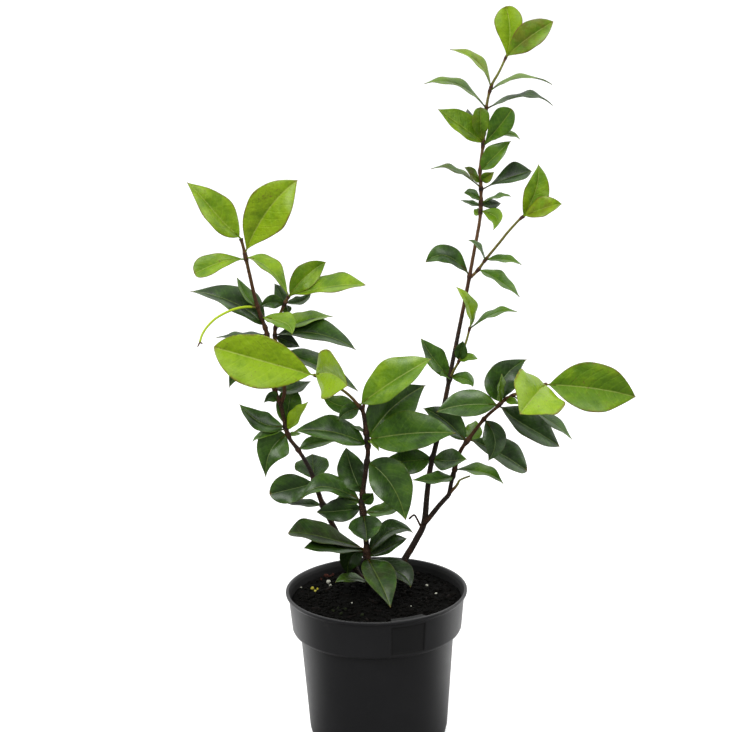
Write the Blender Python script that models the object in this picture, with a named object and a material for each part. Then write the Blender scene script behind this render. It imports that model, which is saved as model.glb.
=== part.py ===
"""Potted star jasmine: a moulded nursery pot, its soil, and three woody stems with branches and leaves.

Metres, +Z up. The origin is the middle of the pot's underside, and the front of the plant faces -Y.
"""

import math
from collections import namedtuple

import bmesh
import bpy
from mathutils import Vector, noise
from mathutils.geometry import intersect_point_line

MM = 0.001

# Pot: radii and heights of the moulding
POT_HEIGHT = 115 * MM
LIP_RADIUS = 65.5 * MM
LIP_FOOT = 111.5 * MM
LIP_FLARE = 1.6 * MM
COLLAR_TOP_RADIUS = 63.5 * MM
COLLAR_FOOT_RADIUS = 61.2 * MM
COLLAR_FOOT = 87.3 * MM
STEP_FOOT = 83.4 * MM
STEP_INSIDE = 84.2 * MM
BODY_TOP_RADIUS = 55.5 * MM
BODY_FOOT_RADIUS = 50.1 * MM
BODY_FOOT = 11 * MM
BASE_RADIUS = 47.6 * MM
BASE_INSIDE_RADIUS = 46.6 * MM
WALL = 1.5 * MM
FLOOR = 2 * MM
POT_SIDES = 48

# Drainage holes through the pot's floor
DRAIN_COUNT = 8
DRAIN_RING = 35 * MM
DRAIN_RADIUS = 4.5 * MM
DRAIN_SIDES = 10

# Label recess on the collar, as angles from the front towards +X
LABEL_START = math.radians(9.1)
LABEL_END = math.radians(32.2)
LABEL_FOOT = 88.4 * MM
LABEL_TOP = 109.6 * MM
LABEL_DEPTH = 0.6 * MM
LABEL_SIDES = 8

# Soil
SOIL_EDGE = 107.5 * MM
SOIL_MOUND = 2.5 * MM
SOIL_ROUGH = 1.6 * MM
SOIL_CLOD = 12 * MM
SOIL_RINGS = 6
SOIL_SIDES = 36
GAP = 0.3 * MM
STAND_DEPTH = 36 * MM
HOLE_TOP = POT_HEIGHT + 16 * MM

# Leaves
BLADE_THICK = 0.7 * MM
SLENDER = 0.47
FOLD = 0.38
ARCH = 0.07
STALK_RADIUS = 0.75 * MM
STALK_SIDES = 4
SHORT_BLADE = 28 * MM
LONG_STATIONS = (0.0, 0.17, 0.42, 0.72, 1.0)
SHORT_STATIONS = (0.0, 0.25, 0.6, 1.0)
OUTLINE_POWER = 2.0
STEM_SIDES = 6
STEM_STEP = 14 * MM
JOINT_CLEAR = 0.35

# Sight lines: stems and leaves are placed by the point of a 732 pixel picture at which they show, and by
# their depth behind the pot's axis. The picture is taken from a little above the pot, with a slight roll.
PICTURE_MIDDLE = 366
PICTURE_FOCUS = 2493
VIEW_PITCH = math.radians(16.3)
VIEW_ROLL = math.radians(1.1)
VIEW_DISTANCE = 1.8
RIM_MIDDLE_PX = (376.4, 588.7)

AHEAD = Vector((0, math.cos(VIEW_PITCH), -math.sin(VIEW_PITCH)))
LEVEL_UP = Vector((0, math.sin(VIEW_PITCH), math.cos(VIEW_PITCH)))
VIEW_RIGHT = Vector((1, 0, 0)) * math.cos(VIEW_ROLL) - LEVEL_UP * math.sin(VIEW_ROLL)
VIEW_UP = LEVEL_UP * math.cos(VIEW_ROLL) + Vector((1, 0, 0)) * math.sin(VIEW_ROLL)


def sight(px, py):
    """The sight line through a picture point, with one metre of depth."""
    right = (px - PICTURE_MIDDLE) / PICTURE_FOCUS
    down = (py - PICTURE_MIDDLE) / PICTURE_FOCUS
    return AHEAD + right * VIEW_RIGHT - down * VIEW_UP


EYE = Vector((0, 0, POT_HEIGHT)) - VIEW_DISTANCE * sight(*RIM_MIDDLE_PX)


def spot(px, py, back):
    """The point that shows at a picture point and lies back metres behind the pot's axis."""
    line = sight(px, py)
    return EYE + line * (back - EYE.y) / line.y


def on_soil(px, py):
    """The point that shows at a picture point and lies at the height of the soil."""
    line = sight(px, py)
    return EYE + line * (SOIL_EDGE - EYE.z) / line.z


def seen_at(point):
    """The picture point at which a point shows."""
    line = point - EYE
    depth = line.dot(AHEAD)
    right = line.dot(VIEW_RIGHT) / depth
    down = -line.dot(VIEW_UP) / depth
    return Vector((PICTURE_MIDDLE + PICTURE_FOCUS * right, PICTURE_MIDDLE + PICTURE_FOCUS * down))


# A leaf: the picture points of its foot on the stem, of its midrib half way and of its tip, the width it
# shows in pixels, how far its tip comes towards the front in millimetres, whether its upper face leans to the
# sky (1) or to the ground (-1), where along the blade it is widest, and its stalk's share of the length.
Leaf = namedtuple("Leaf", "foot belly tip wide toward face peak stalk", defaults=(0, 1, 0.42, 0.04))

# Stem routes. Each row holds picture x, picture y, depth behind the pot's axis and diameter in millimetres.
LEFT_ENTRY_PX = (361, 581)
LEFT_ROUTE = [
    (358, 574, 30, 4.6),
    (349, 555, 28, 4.5),
    (338, 535, 25, 4.3),
    (323, 505, 22, 3.9),
    (311, 472, 20, 3.2),
    (299, 451, 20, 2.9),
    (288, 435, 21, 2.9),
    (281, 406, 20, 2.9),
    (275, 390, 20, 3.0),
    (271, 362, 18, 2.9),
    (267, 334, 16, 2.8),
    (257, 305, 13, 2.7),
    (249, 272, 10, 2.5),
    (244, 250, 8, 2.3),
    (241, 239, 6, 2.0),
]
LEFT_BRANCH_ROUTE = [
    (281, 404, 20, 2.8),
    (284.5, 392, 18, 2.7),
    (282, 376, 16, 2.6),
    (279, 360, 17, 2.5),
    (275, 338, 20, 2.4),
    (276, 325, 22, 2.3),
    (281, 312, 23, 2.2),
    (285, 303, 21, 2.1),
    (289, 296, 20, 1.8),
]
PALE_ROUTE = [
    (256, 307, 13, 1.9),
    (245, 307, 7, 1.8),
    (235, 309, 2, 1.8),
    (225, 313, -2, 1.7),
    (215, 319, -5, 1.7),
    (207, 327, -7, 1.6),
    (202, 335, -8, 1.6),
    (200, 342, -9, 1.6),
]
PALE_FORK = [(197.5, 347), (202.5, 344)]
MIDDLE_ENTRY_PX = (370, 588)
MIDDLE_ROUTE = [
    (368, 575, 16, 4.4),
    (367, 558, 15, 4.2),
    (366, 540, 14, 4.0),
    (363, 512, 12, 3.8),
    (362, 500, 12, 3.7),
    (366, 470, 10, 3.5),
    (368, 450, 9, 3.4),
    (366, 432, 8, 3.3),
    (363, 412, 8, 3.0),
    (358, 405, 6, 2.4),
    (350, 396, 2, 2.1),
    (338, 387, -7, 1.9),
    (326, 381, -16, 1.8),
    (314, 375, -25, 1.7),
]
MIDDLE_RIGHT_ROUTE = [
    (363, 412, 8, 2.4),
    (364, 404, 9, 2.2),
    (366, 398, 10, 2.0),
]
TALL_ENTRY_PX = (390, 589)
TALL_ROUTE = [
    (398, 570, 14, 5.0),
    (406, 557, 14, 4.9),
    (416, 540, 14, 4.7),
    (424, 523, 15, 4.5),
    (427, 495, 17, 4.1),
    (430, 470, 19, 3.9),
    (437, 440, 22, 3.7),
    (446, 396, 26, 3.4),
    (451, 370, 28, 3.2),
    (458, 335, 31, 3.0),
    (464, 305, 34, 2.8),
    (469, 279, 36, 2.7),
    (474, 252, 38, 2.5),
    (480, 218, 41, 2.4),
    (481, 190, 43, 2.3),
    (480, 170, 44, 2.2),
    (483, 145, 46, 2.1),
    (486, 110, 47, 2.0),
    (491, 87, 48, 1.9),
    (499, 72, 49, 1.7),
    (507, 55, 50, 1.5),
]
TWIG_ROUTE = [
    (422, 529, 14, 1.6),
    (417, 519, 10, 1.5),
    (414, 515, 8, 1.5),
    (409, 519, 6, 1.4),
]
RIGHT_ROUTE = [
    (424, 524, 14, 3.8),
    (430, 517, 13.5, 3.7),
    (437, 508, 13, 3.6),
    (444, 500, 12, 3.5),
    (449, 494, 11, 3.4),
    (451, 484, 10, 3.1),
    (454, 472, 9, 3.0),
    (460, 452, 8, 2.9),
    (468, 440, 5, 2.8),
    (484, 419, -2, 2.5),
    (496, 408, -6, 2.3),
    (506, 399, -9, 2.2),
    (521, 392, -13, 2.0),
    (536, 387, -17, 1.9),
    (547, 384, -20, 1.8),
]
SPUR_ROUTE = [
    (449, 494, 11, 2.4),
    (457, 485, 8, 2.0),
    (460, 480, 7, 1.5),
    (470, 476, 5, 1.3),
]
SIDE_ROUTE = [
    (471, 277, 36, 2.2),
    (478, 270, 35, 2.1),
    (486, 259, 32, 2.0),
    (500, 242, 28, 1.9),
    (508, 232, 25, 1.8),
    (519, 220, 22, 1.8),
    (524, 216, 21, 1.7),
]
SMALL_ROUTE = [
    (450, 379, 28, 2.0),
    (454, 370, 23, 1.9),
    (459, 361, 20, 1.8),
    (466, 342, 17, 1.7),
    (470, 327, 16, 1.6),
]

# Where a branch or a young tip leaves its stem: the picture point of the joint between the two nodes
LEFT_BRANCH_JOINT_PX = (284.3, 391)
LEFT_TIP_JOINT_PX = (249.5, 272)
LEFT_BRANCH_TIP_JOINT_PX = (286.7, 300.5)
PALE_JOINT_PX = (251.5, 307)
MIDDLE_TIP_JOINT_PX = (323, 379.5)
TALL_TIP_JOINT_PX = (502, 66)
RIGHT_JOINT_PX = (433, 513)
RIGHT_TIP_JOINT_PX = (538, 386.5)
SIDE_JOINT_PX = (476, 272.3)
SIDE_TIP_JOINT_PX = (517, 222)
SMALL_JOINT_PX = (455.5, 368)

LEFT_LEAVES = [
    Leaf((264, 328), (236, 301), (190, 289), 27, -14),
    Leaf((256, 307), (246, 294), (237, 277), 10, -8),
    Leaf((263, 317), (284, 321), (292, 334), 18, 26),
    Leaf((265, 335), (240, 335), (216, 337), 5, 4),
    Leaf((271, 362), (246, 364), (229, 388), 22, 10),
    Leaf((276, 389), (292, 388), (311, 381), 14, -18),
    Leaf((286, 427), (289, 403), (292, 383), 26, -14),
    Leaf((285, 428), (297, 416), (307, 401), 13, 12),
    Leaf((281, 400), (272, 397), (264, 403), 11, 5),
    Leaf((284, 427), (260, 421), (240, 403), 20, -4),
    Leaf((284, 429), (264, 435), (252, 441), 7, 6),
    Leaf((288, 434), (270, 452), (266, 480), 34, 12, peak=0.3),
    Leaf((289, 435), (295, 434), (301, 433), 5, -6),
    Leaf((299, 449), (317, 442), (335, 441), 13, -4),
    Leaf((314, 480), (313, 466), (312, 453), 35, -28),
    Leaf((314, 483), (295, 487), (272, 493), 28, 0, peak=0.6),
    Leaf((322, 506), (302, 504), (284, 503), 7, -4),
]
LEFT_TIP_LEAVES = [
    Leaf((241, 239), (216, 211), (187, 182), 31, 4),
    Leaf((246, 254), (265, 213), (297, 180), 45, 10, peak=0.54),
    Leaf((247, 259), (217, 262), (197, 278), 19, 6, peak=0.66),
    Leaf((248, 257), (269, 266), (288, 295), 16, 13),
]
LEFT_BRANCH_LEAVES = [
    Leaf((286, 303), (300, 301), (311, 293), 9, -10),
    Leaf((285, 305), (272, 302), (260, 307), 14, 6),
    Leaf((285, 305), (281, 295), (274, 283), 14, -12),
    Leaf((284, 305), (287, 309), (288, 315), 10, -8),
    Leaf((276, 328), (307, 319), (333, 316), 14, -12),
    Leaf((275, 335), (320, 332), (357, 349), 21, 6),
    Leaf((275, 337), (288, 341), (300, 347), 13, -6),
    Leaf((278, 353), (320, 365), (360, 390), 19, 4),
]
LEFT_BRANCH_TIP_LEAVES = [
    Leaf((289, 297), (305, 277), (326, 262), 24, -6, peak=0.5),
    Leaf((289, 296), (327, 285), (366, 284), 18, 5, peak=0.54),
]
MIDDLE_LEAVES = [
    Leaf((366, 399), (396, 377), (431, 358), 36, 8),
    Leaf((368, 440), (392, 408), (426, 385), 44, -14),
    Leaf((368, 440), (412, 432), (456, 433), 41, 18),
    Leaf((367, 440), (374, 444), (379, 451), 5, 8),
    Leaf((358, 408), (339, 405), (322, 394), 18, -5),
    Leaf((359, 409), (347, 412), (339, 420), 16, 16),
    Leaf((366, 433), (357, 428), (350, 425), 4, -8),
    Leaf((367, 446), (333, 430), (294, 430), 26, 10),
    Leaf((367, 462), (391, 484), (406, 521), 43, 12),
    Leaf((362, 494), (352, 470), (346, 447), 29, -16),
    Leaf((361, 502), (328, 485), (300, 499), 20, 8),
    Leaf((361, 503), (346, 499), (334, 500), 12, -8),
    Leaf((362, 508), (338, 511), (316, 512), 24, 6),
    Leaf((364, 514), (366, 529), (366, 541), 34, 26),
    Leaf((364, 512), (388, 509), (405, 500), 14, -4),
    Leaf((363, 502), (369, 498), (373, 493), 13, 12),
    Leaf((366, 550), (320, 534), (288, 531), 22, 9, peak=0.6),
    Leaf((366, 551), (329, 547), (304, 547), 13, 26),
    Leaf((366, 552), (351, 557), (348, 575), 24, -6),
    Leaf((368, 556), (390, 529), (414, 532), 17, -4),
    Leaf((368, 557), (389, 545), (407, 538), 17, 2),
    Leaf((368, 558), (379, 577), (391, 607), 31, 44),
    Leaf((368, 560), (398, 570), (411, 587), 20, 24),
    Leaf((369, 583), (350, 578), (335, 582), 9, 12),
]
MIDDLE_TIP_LEAVES = [
    Leaf((315, 375.5), (263, 361), (213, 347), 53, 3, peak=0.54),
    Leaf((315, 375.5), (328, 374), (347, 386), 50, 48, peak=0.54),
]
TALL_LEAVES = [
    Leaf((491, 87), (477, 60.5), (450, 49), 9, 6),
    Leaf((491, 91), (520, 77), (553, 82), 5, 4),
    Leaf((486, 108), (456, 83), (424, 82), 8, 5),
    Leaf((486, 109), (524, 95), (553, 105), 6, 10),
    Leaf((483, 144), (461, 124), (438, 109), 22, 6),
    Leaf((483, 142), (481, 127), (482, 108), 18, 9, peak=0.7),
    Leaf((483, 145), (499, 126), (510, 109), 24, 16, peak=0.66),
    Leaf((484, 143), (475, 124), (468, 108), 12, -26),
    Leaf((483, 146), (504, 134), (520, 139), 7, 6),
    Leaf((480, 171), (495, 155), (511, 141), 19, 4),
    Leaf((480, 181), (472, 174), (465, 167), 9, 14),
    Leaf((480, 180), (487, 177), (494, 172), 11, 9),
    Leaf((480, 188), (457, 170), (431, 168), 5, 2),
    Leaf((481, 190), (508, 177), (532, 170), 20, -3, peak=0.62, stalk=0.26),
    Leaf((480, 200), (472, 194), (464, 193), 9, 10),
    Leaf((480, 206), (471, 203), (461, 200), 5, -7),
    Leaf((481, 205), (492, 204), (501, 203), 10, -8),
    Leaf((481, 203), (498, 196), (511, 196), 4, 6),
    Leaf((480, 211), (496, 217), (493, 230), 15, 17),
    Leaf((480, 212), (477, 212), (474, 209), 8, -5),
    Leaf((470, 276), (448, 255), (425, 262), 18, 2, peak=0.5),
    Leaf((449, 377), (434.5, 358), (421, 338), 20, 2),
    Leaf((450, 377), (466, 379), (473, 387), 13, 12),
    Leaf((449, 379), (445, 375), (440, 376), 5, 14),
    Leaf((433, 458), (408, 461), (382, 461), 26, -6),
    Leaf((433, 459), (450, 460), (467, 459), 22, 26),
]
TALL_TIP_LEAVES = [
    Leaf((506, 58), (510, 32), (506, 6), 28, -4, peak=0.68),
    Leaf((506, 58), (528, 37), (553, 21), 27, 10, peak=0.54),
]
SIDE_LEAVES = [
    Leaf((486, 260), (506, 259), (522, 264), 8, 5),
    Leaf((479, 270), (501, 280.5), (521, 296), 12, 10),
    Leaf((485, 260), (480, 248), (469, 239), 5, 10),
]
SIDE_TIP_LEAVES = [
    Leaf((522, 217), (536, 191), (538.5, 164), 25, -4),
    Leaf((523, 216), (545, 207), (562, 204), 19, 14),
]
SMALL_LEAVES = [
    Leaf((470, 329), (470.5, 308), (457, 286), 11, 4),
    Leaf((470, 329), (494, 313), (518, 311), 7, 5),
    Leaf((459, 361), (461, 350), (463, 341), 13, 6),
    Leaf((459, 361), (468, 358), (478, 359), 8, 10),
]
RIGHT_LEAVES = [
    Leaf((453, 476), (437, 479), (412, 479), 12, 9),
    Leaf((456, 470), (483, 471), (504, 484), 12, 10),
    Leaf((499, 405), (466, 404), (436, 412), 28, 3),
    Leaf((466, 442), (447, 421), (423, 408), 24, -8),
    Leaf((467, 441), (473, 431), (476, 420), 18, -14),
    Leaf((499, 402), (503, 379), (527, 359), 32, -12),
    Leaf((484, 419), (495, 440), (488, 461), 24, 8),
    Leaf((469, 440), (501, 452), (529, 470), 26, -6, peak=0.58),
    Leaf((499, 406), (529, 425), (561, 446), 27, -8, peak=0.5),
    Leaf((513, 396), (546, 417), (574, 438), 11, 10),
    Leaf((506, 399), (512, 401), (519, 404), 8, 10),
    Leaf((500, 402), (500, 388), (502, 374), 8, 10),
]
RIGHT_TIP_LEAVES = [
    Leaf((545, 384.5), (537, 393), (520, 414), 58, 50, peak=0.5),
    Leaf((545, 384.5), (591, 388), (636, 397), 50, 4, peak=0.5),
]


def curve_through(points, step):
    """Points about step apart on one smooth curve through the route's rows, each a point with a diameter."""
    smooth = []
    for index in range(len(points) - 1):
        before = points[max(index - 1, 0)]
        start, end = points[index], points[index + 1]
        after = points[min(index + 2, len(points) - 1)]
        count = max(1, round((end[0] - start[0]).length / step))
        for number in range(count):
            t = number / count
            place = (
                start[0] * (2 - 5 * t**2 + 3 * t**3)
                + end[0] * (t + 4 * t**2 - 3 * t**3)
                + before[0] * (-t + 2 * t**2 - t**3)
                + after[0] * (t**3 - t**2)
            ) / 2
            smooth.append((place, start[1] + (end[1] - start[1]) * t))
    smooth.append(points[-1])
    return smooth


def stem_line(route, entry=None):
    """A stem's centre line. A stem with an entry point in the soil starts below it, upright in its hole."""
    points = [(spot(px, py, back * MM), thick * MM) for px, py, back, thick in route]
    if entry:
        top = on_soil(*entry)
        thick = points[0][1]
        points = [(top - Vector((0, 0, STAND_DEPTH)), thick), (top, thick)] + points
    return curve_through(points, STEM_STEP)


def nearest(line, px, py):
    """The share of the way along a centre line, counted in rows, that shows nearest to a picture point."""
    target = Vector((px, py, 0))
    best = (math.inf, 0)
    for index in range(len(line) - 1):
        start = seen_at(line[index][0]).to_3d()
        end = seen_at(line[index + 1][0]).to_3d()
        t = intersect_point_line(target, start, end)[1]
        t = min(max(t, 0), 1)
        away = (start.lerp(end, t) - target).length
        best = min(best, (away, index + t))
    return best[1]


def at_row(line, row):
    """The point and the diameter at a row number, which may lie between two rows."""
    index = min(int(row), len(line) - 2)
    t = row - index
    start, end = line[index], line[index + 1]
    return start[0].lerp(end[0], t), start[1] + (end[1] - start[1]) * t


def cut_line(line, joint):
    """A centre line cut in two at a picture point. The ends are parallel and keep the gap between pieces."""
    row = nearest(line, *joint)
    place, thick = at_row(line, row)
    ahead = (at_row(line, row + 0.01)[0] - place).normalized()
    start = place + ahead * GAP
    lower = [point for number, point in enumerate(line) if number < row - JOINT_CLEAR]
    upper = [point for number, point in enumerate(line) if number > row + JOINT_CLEAR]
    lower += [(place - ahead * thick, thick), (place, thick)]
    return lower, [(start, thick), (start + ahead * thick, thick)] + upper


def new_object(name, mesh, materials):
    """A named object with its materials, linked into the scene."""
    made = bpy.data.objects.new(name, mesh)
    for material in materials:
        mesh.materials.append(material)
    bpy.context.scene.collection.objects.link(made)
    return made


def mesh_of(name, points, faces, slot=0):
    """A mesh from points and faces, all faces in one material slot."""
    mesh = bpy.data.meshes.new(name)
    mesh.from_pydata(points, [], faces)
    for face in mesh.polygons:
        face.material_index = slot
    return mesh


def tube_mesh(name, line, sides, swell=0.0):
    """A closed tube along a centre line of points and diameters, with flat ends."""
    points, faces = [], []
    across = None
    for index, (place, thick) in enumerate(line):
        ahead = line[min(index + 1, len(line) - 1)][0] - line[max(index - 1, 0)][0]
        ahead.normalize()
        if across is None:
            across = ahead.cross(Vector((0.3, 1, 0.2))).normalized()
        across = (across - ahead * across.dot(ahead)).normalized()
        along = ahead.cross(across)
        for side in range(sides):
            turn = math.tau * side / sides
            reach = thick / 2 + swell
            points.append(place + (across * math.cos(turn) + along * math.sin(turn)) * reach)
    for index in range(len(line) - 1):
        for side in range(sides):
            here, there = index * sides + side, index * sides + (side + 1) % sides
            faces.append((here, there, there + sides, here + sides))
    last = (len(line) - 1) * sides
    faces.append(tuple(reversed(range(sides))))
    faces.append(tuple(range(last, last + sides)))
    return mesh_of(name, points, faces)


def midrib(leaf, foot):
    """The three control points of a leaf's midrib, from its foot on the stem."""
    near = foot.y - leaf.toward * MM
    tip = spot(*leaf.tip, near)
    rise = ARCH * (tip - foot).length
    belly = spot(*leaf.belly, (foot.y + near) / 2 - rise)
    return foot, 2 * belly - (foot + tip) / 2, tip


def on_midrib(controls, t):
    """The point on a midrib and the way it runs there."""
    foot, control, tip = controls
    place = foot * (1 - t) ** 2 + control * 2 * t * (1 - t) + tip * t**2
    ahead = (control - foot) * (1 - t) + (tip - control) * t
    return place, ahead.normalized()


def blade_facing(leaf, controls):
    """A leaf's real width, the way its upper face looks and its fold, turned until it shows as traced."""
    foot, control, tip = controls
    middle = on_midrib(controls, 0.5)[0]
    ahead = (tip - foot).normalized()
    to_eye = (EYE - middle).normalized()
    facing = (to_eye - ahead * to_eye.dot(ahead)).normalized()
    sideways = ahead.cross(facing)
    if sideways.dot(Vector((0.35, 0, 1))) < 0:
        sideways = -sideways
    depth = (middle - EYE).dot(AHEAD)
    shown = leaf.wide * depth / PICTURE_FOCUS
    width = max(shown, SLENDER * (tip - foot).length)
    turn = leaf.face * math.acos(shown / width)
    fold = FOLD * min(1, 1.6 * shown / width)
    return width, facing * math.cos(turn) + sideways * math.sin(turn), fold


def leaf_outline(t, peak):
    """A pointed oval blade's width at t, from 0 at its foot to 1 at its tip, as a share of its full width."""
    return (t / peak) ** (OUTLINE_POWER * peak) * ((1 - t) / (1 - peak)) ** (OUTLINE_POWER * (1 - peak))


def blade_mesh(name, leaf, foot):
    """A leaf blade: a thin closed solid, folded along its midrib and arched, alike on both faces."""
    controls = midrib(leaf, foot)
    width, up, fold = blade_facing(leaf, controls)
    long = (controls[2] - controls[0]).length
    stations = LONG_STATIONS if long > SHORT_BLADE else SHORT_STATIONS
    points, faces = [], []
    for t in stations:
        place, ahead = on_midrib(controls, leaf.stalk + (1 - leaf.stalk) * t)
        normal = (up - ahead * up.dot(ahead)).normalized()
        side = ahead.cross(normal)
        half = max(width / 2 * leaf_outline(t, leaf.peak), BLADE_THICK)
        lift = normal * BLADE_THICK / 2
        dip = normal * fold * half / 2
        for face in (1, -1):
            points.append(place - side * half + dip + lift * face)
            points.append(place - dip + lift * face)
            points.append(place + side * half + dip + lift * face)
    for row in range(len(stations) - 1):
        here, there = row * 6, row * 6 + 6
        for column in (0, 1):
            near_corner, near_next = here + column, here + column + 1
            far_corner, far_next = there + column, there + column + 1
            faces.append((near_corner, near_next, far_next))
            faces.append((near_corner, far_next, far_corner))
            faces.append((near_corner + 3, far_next + 3, near_next + 3))
            faces.append((near_corner + 3, far_corner + 3, far_next + 3))
        faces.append((here, there, there + 3, here + 3))
        faces.append((here + 2, here + 5, there + 5, there + 2))
    last = 6 * (len(stations) - 1)
    faces.append((0, 3, 4, 1))
    faces.append((1, 4, 5, 2))
    faces.append((last, last + 1, last + 4, last + 3))
    faces.append((last + 1, last + 2, last + 5, last + 4))
    return mesh_of(name, points, faces, slot=1)


def stalk_mesh(name, leaf, foot):
    """A leaf's stalk, from the stem's centre line to a little way under the blade."""
    controls = midrib(leaf, foot)
    length = (controls[2] - controls[0]).length
    reach = leaf.stalk + min(0.14, 4 * MM / length)
    start = on_midrib(controls, 0)[0]
    end = on_midrib(controls, reach)[0]
    return tube_mesh(name, [(start, 2.2 * STALK_RADIUS), (end, 1.5 * STALK_RADIUS)], STALK_SIDES)


def fused(body, extras):
    """Joins the extras to the body by one union, and removes them."""
    group = bpy.data.collections.new(body.name + "_repeats")
    bpy.context.scene.collection.children.link(group)
    for extra in extras:
        group.objects.link(extra)
    union = body.modifiers.new("Union", "BOOLEAN")
    union.operand_type = "COLLECTION"
    union.collection = group
    union.operation = "UNION"
    union.solver = "EXACT"
    view = bpy.context.evaluated_depsgraph_get()
    joined = bpy.data.meshes.new_from_object(body.evaluated_get(view))
    body.modifiers.clear()
    body.data = joined
    for extra in extras:
        bpy.data.objects.remove(extra)
    bpy.data.collections.remove(group)
    return body


def cut_by(body, cutter):
    """Cuts a cutter's shape out of a body, and removes the cutter."""
    cutter.hide_render = True
    cutter.display_type = "WIRE"
    cut = body.modifiers.new("Cut", "BOOLEAN")
    cut.object = cutter
    cut.operation = "DIFFERENCE"
    cut.solver = "EXACT"
    view = bpy.context.evaluated_depsgraph_get()
    left = bpy.data.meshes.new_from_object(body.evaluated_get(view))
    body.modifiers.clear()
    body.data = left
    bpy.data.objects.remove(cutter)


def finish_material(name, colour, roughness):
    """A plain material in one colour."""
    material = bpy.data.materials.new(name)
    material.use_nodes = True
    shader = material.node_tree.nodes["Principled BSDF"]
    shader.inputs["Base Color"].default_value = (*colour, 1)
    shader.inputs["Roughness"].default_value = roughness
    shader.inputs["Metallic"].default_value = 0
    return material


def turned_mesh(name, profile, sides, start=0.0, sweep=math.tau):
    """A solid turned round the Z axis from a closed profile of radius and height, whole or as a sector."""
    whole = sweep == math.tau
    steps = sides if whole else sides + 1
    work = bmesh.new()
    rings = []
    for step in range(steps):
        turn = start + sweep * step / sides
        way = Vector((math.sin(turn), -math.cos(turn), 0))
        rings.append([work.verts.new(way * radius + Vector((0, 0, height))) for radius, height in profile])
    for step in range(sides):
        here, there = rings[step], rings[(step + 1) % steps]
        for index in range(len(profile)):
            following = (index + 1) % len(profile)
            work.faces.new((here[index], here[following], there[following], there[index]))
    if not whole:
        work.faces.new(rings[0])
        work.faces.new(rings[-1])
    bmesh.ops.remove_doubles(work, verts=work.verts, dist=1e-6)
    bmesh.ops.recalc_face_normals(work, faces=work.faces)
    mesh = bpy.data.meshes.new(name)
    work.to_mesh(mesh)
    work.free()
    return mesh


def wall_radius(height, inside=0.0):
    """The pot wall's outer radius at a height on the collar, less a share of the wall."""
    share = (height - COLLAR_FOOT) / (LIP_FOOT - COLLAR_FOOT)
    return COLLAR_FOOT_RADIUS + (COLLAR_TOP_RADIUS - COLLAR_FOOT_RADIUS) * share - inside


def make_pot(plastic):
    """The moulded pot: turned wall and floor, drainage holes and a shallow label recess."""
    rim_round = 0.4 * MM
    collar_round = 0.8 * MM
    outside = [
        (0, 0),
        (BASE_RADIUS, 0),
        (BODY_FOOT_RADIUS, BODY_FOOT),
        (BODY_TOP_RADIUS, STEP_FOOT),
        (COLLAR_FOOT_RADIUS - collar_round, COLLAR_FOOT - 2 * collar_round),
        (COLLAR_FOOT_RADIUS, COLLAR_FOOT),
        (COLLAR_TOP_RADIUS, LIP_FOOT),
        (LIP_RADIUS, LIP_FOOT + LIP_FLARE),
        (LIP_RADIUS, POT_HEIGHT - rim_round),
        (LIP_RADIUS - rim_round, POT_HEIGHT),
    ]
    inside = [
        (LIP_RADIUS - WALL, POT_HEIGHT),
        (LIP_RADIUS - WALL - rim_round, POT_HEIGHT - rim_round),
        (COLLAR_TOP_RADIUS - WALL, LIP_FOOT),
        (COLLAR_FOOT_RADIUS - WALL, COLLAR_FOOT),
        (BODY_TOP_RADIUS - WALL, STEP_INSIDE),
        (BODY_FOOT_RADIUS - WALL, BODY_FOOT),
        (BASE_INSIDE_RADIUS, FLOOR),
        (0, FLOOR),
    ]
    pot = new_object("pot", turned_mesh("pot", outside + inside, POT_SIDES), [plastic])
    for number in range(DRAIN_COUNT):
        turn = math.tau * (number + 0.5) / DRAIN_COUNT
        centre = Vector((math.cos(turn), math.sin(turn), 0)) * DRAIN_RING
        drill = [(centre - Vector((0, 0, FLOOR)), 2 * DRAIN_RADIUS)]
        drill.append((centre + Vector((0, 0, 2 * FLOOR)), 2 * DRAIN_RADIUS))
        cut_by(pot, new_object("drain", tube_mesh("drain", drill, DRAIN_SIDES), [plastic]))
    foot = wall_radius(LABEL_FOOT, LABEL_DEPTH)
    top = wall_radius(LABEL_TOP, LABEL_DEPTH)
    beyond = LIP_RADIUS + 5 * MM
    recess = [(foot, LABEL_FOOT), (beyond, LABEL_FOOT), (beyond, LABEL_TOP), (top, LABEL_TOP)]
    sector = turned_mesh("label", recess, LABEL_SIDES, LABEL_START, LABEL_END - LABEL_START)
    cut_by(pot, new_object("label", sector, [plastic]))
    shade_round(pot, 30)
    return pot


def shade_round(piece, degrees):
    """Smooth shading, with edges sharper than the angle kept crisp."""
    piece.data.shade_smooth()
    piece.data.set_sharp_from_angle(angle=math.radians(degrees))


def soil_height(x, y):
    """The soil's top: a low mound with clods, level at the pot's wall."""
    edge = wall_radius(SOIL_EDGE, WALL + GAP)
    out = min(math.hypot(x, y) / edge, 1)
    rough = noise.fractal(Vector((x, y, 0)) / SOIL_CLOD, 1.0, 2.0, 3)
    return SOIL_EDGE + SOIL_MOUND * (1 - out**2) + SOIL_ROUGH * rough * (1 - out**4)


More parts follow.
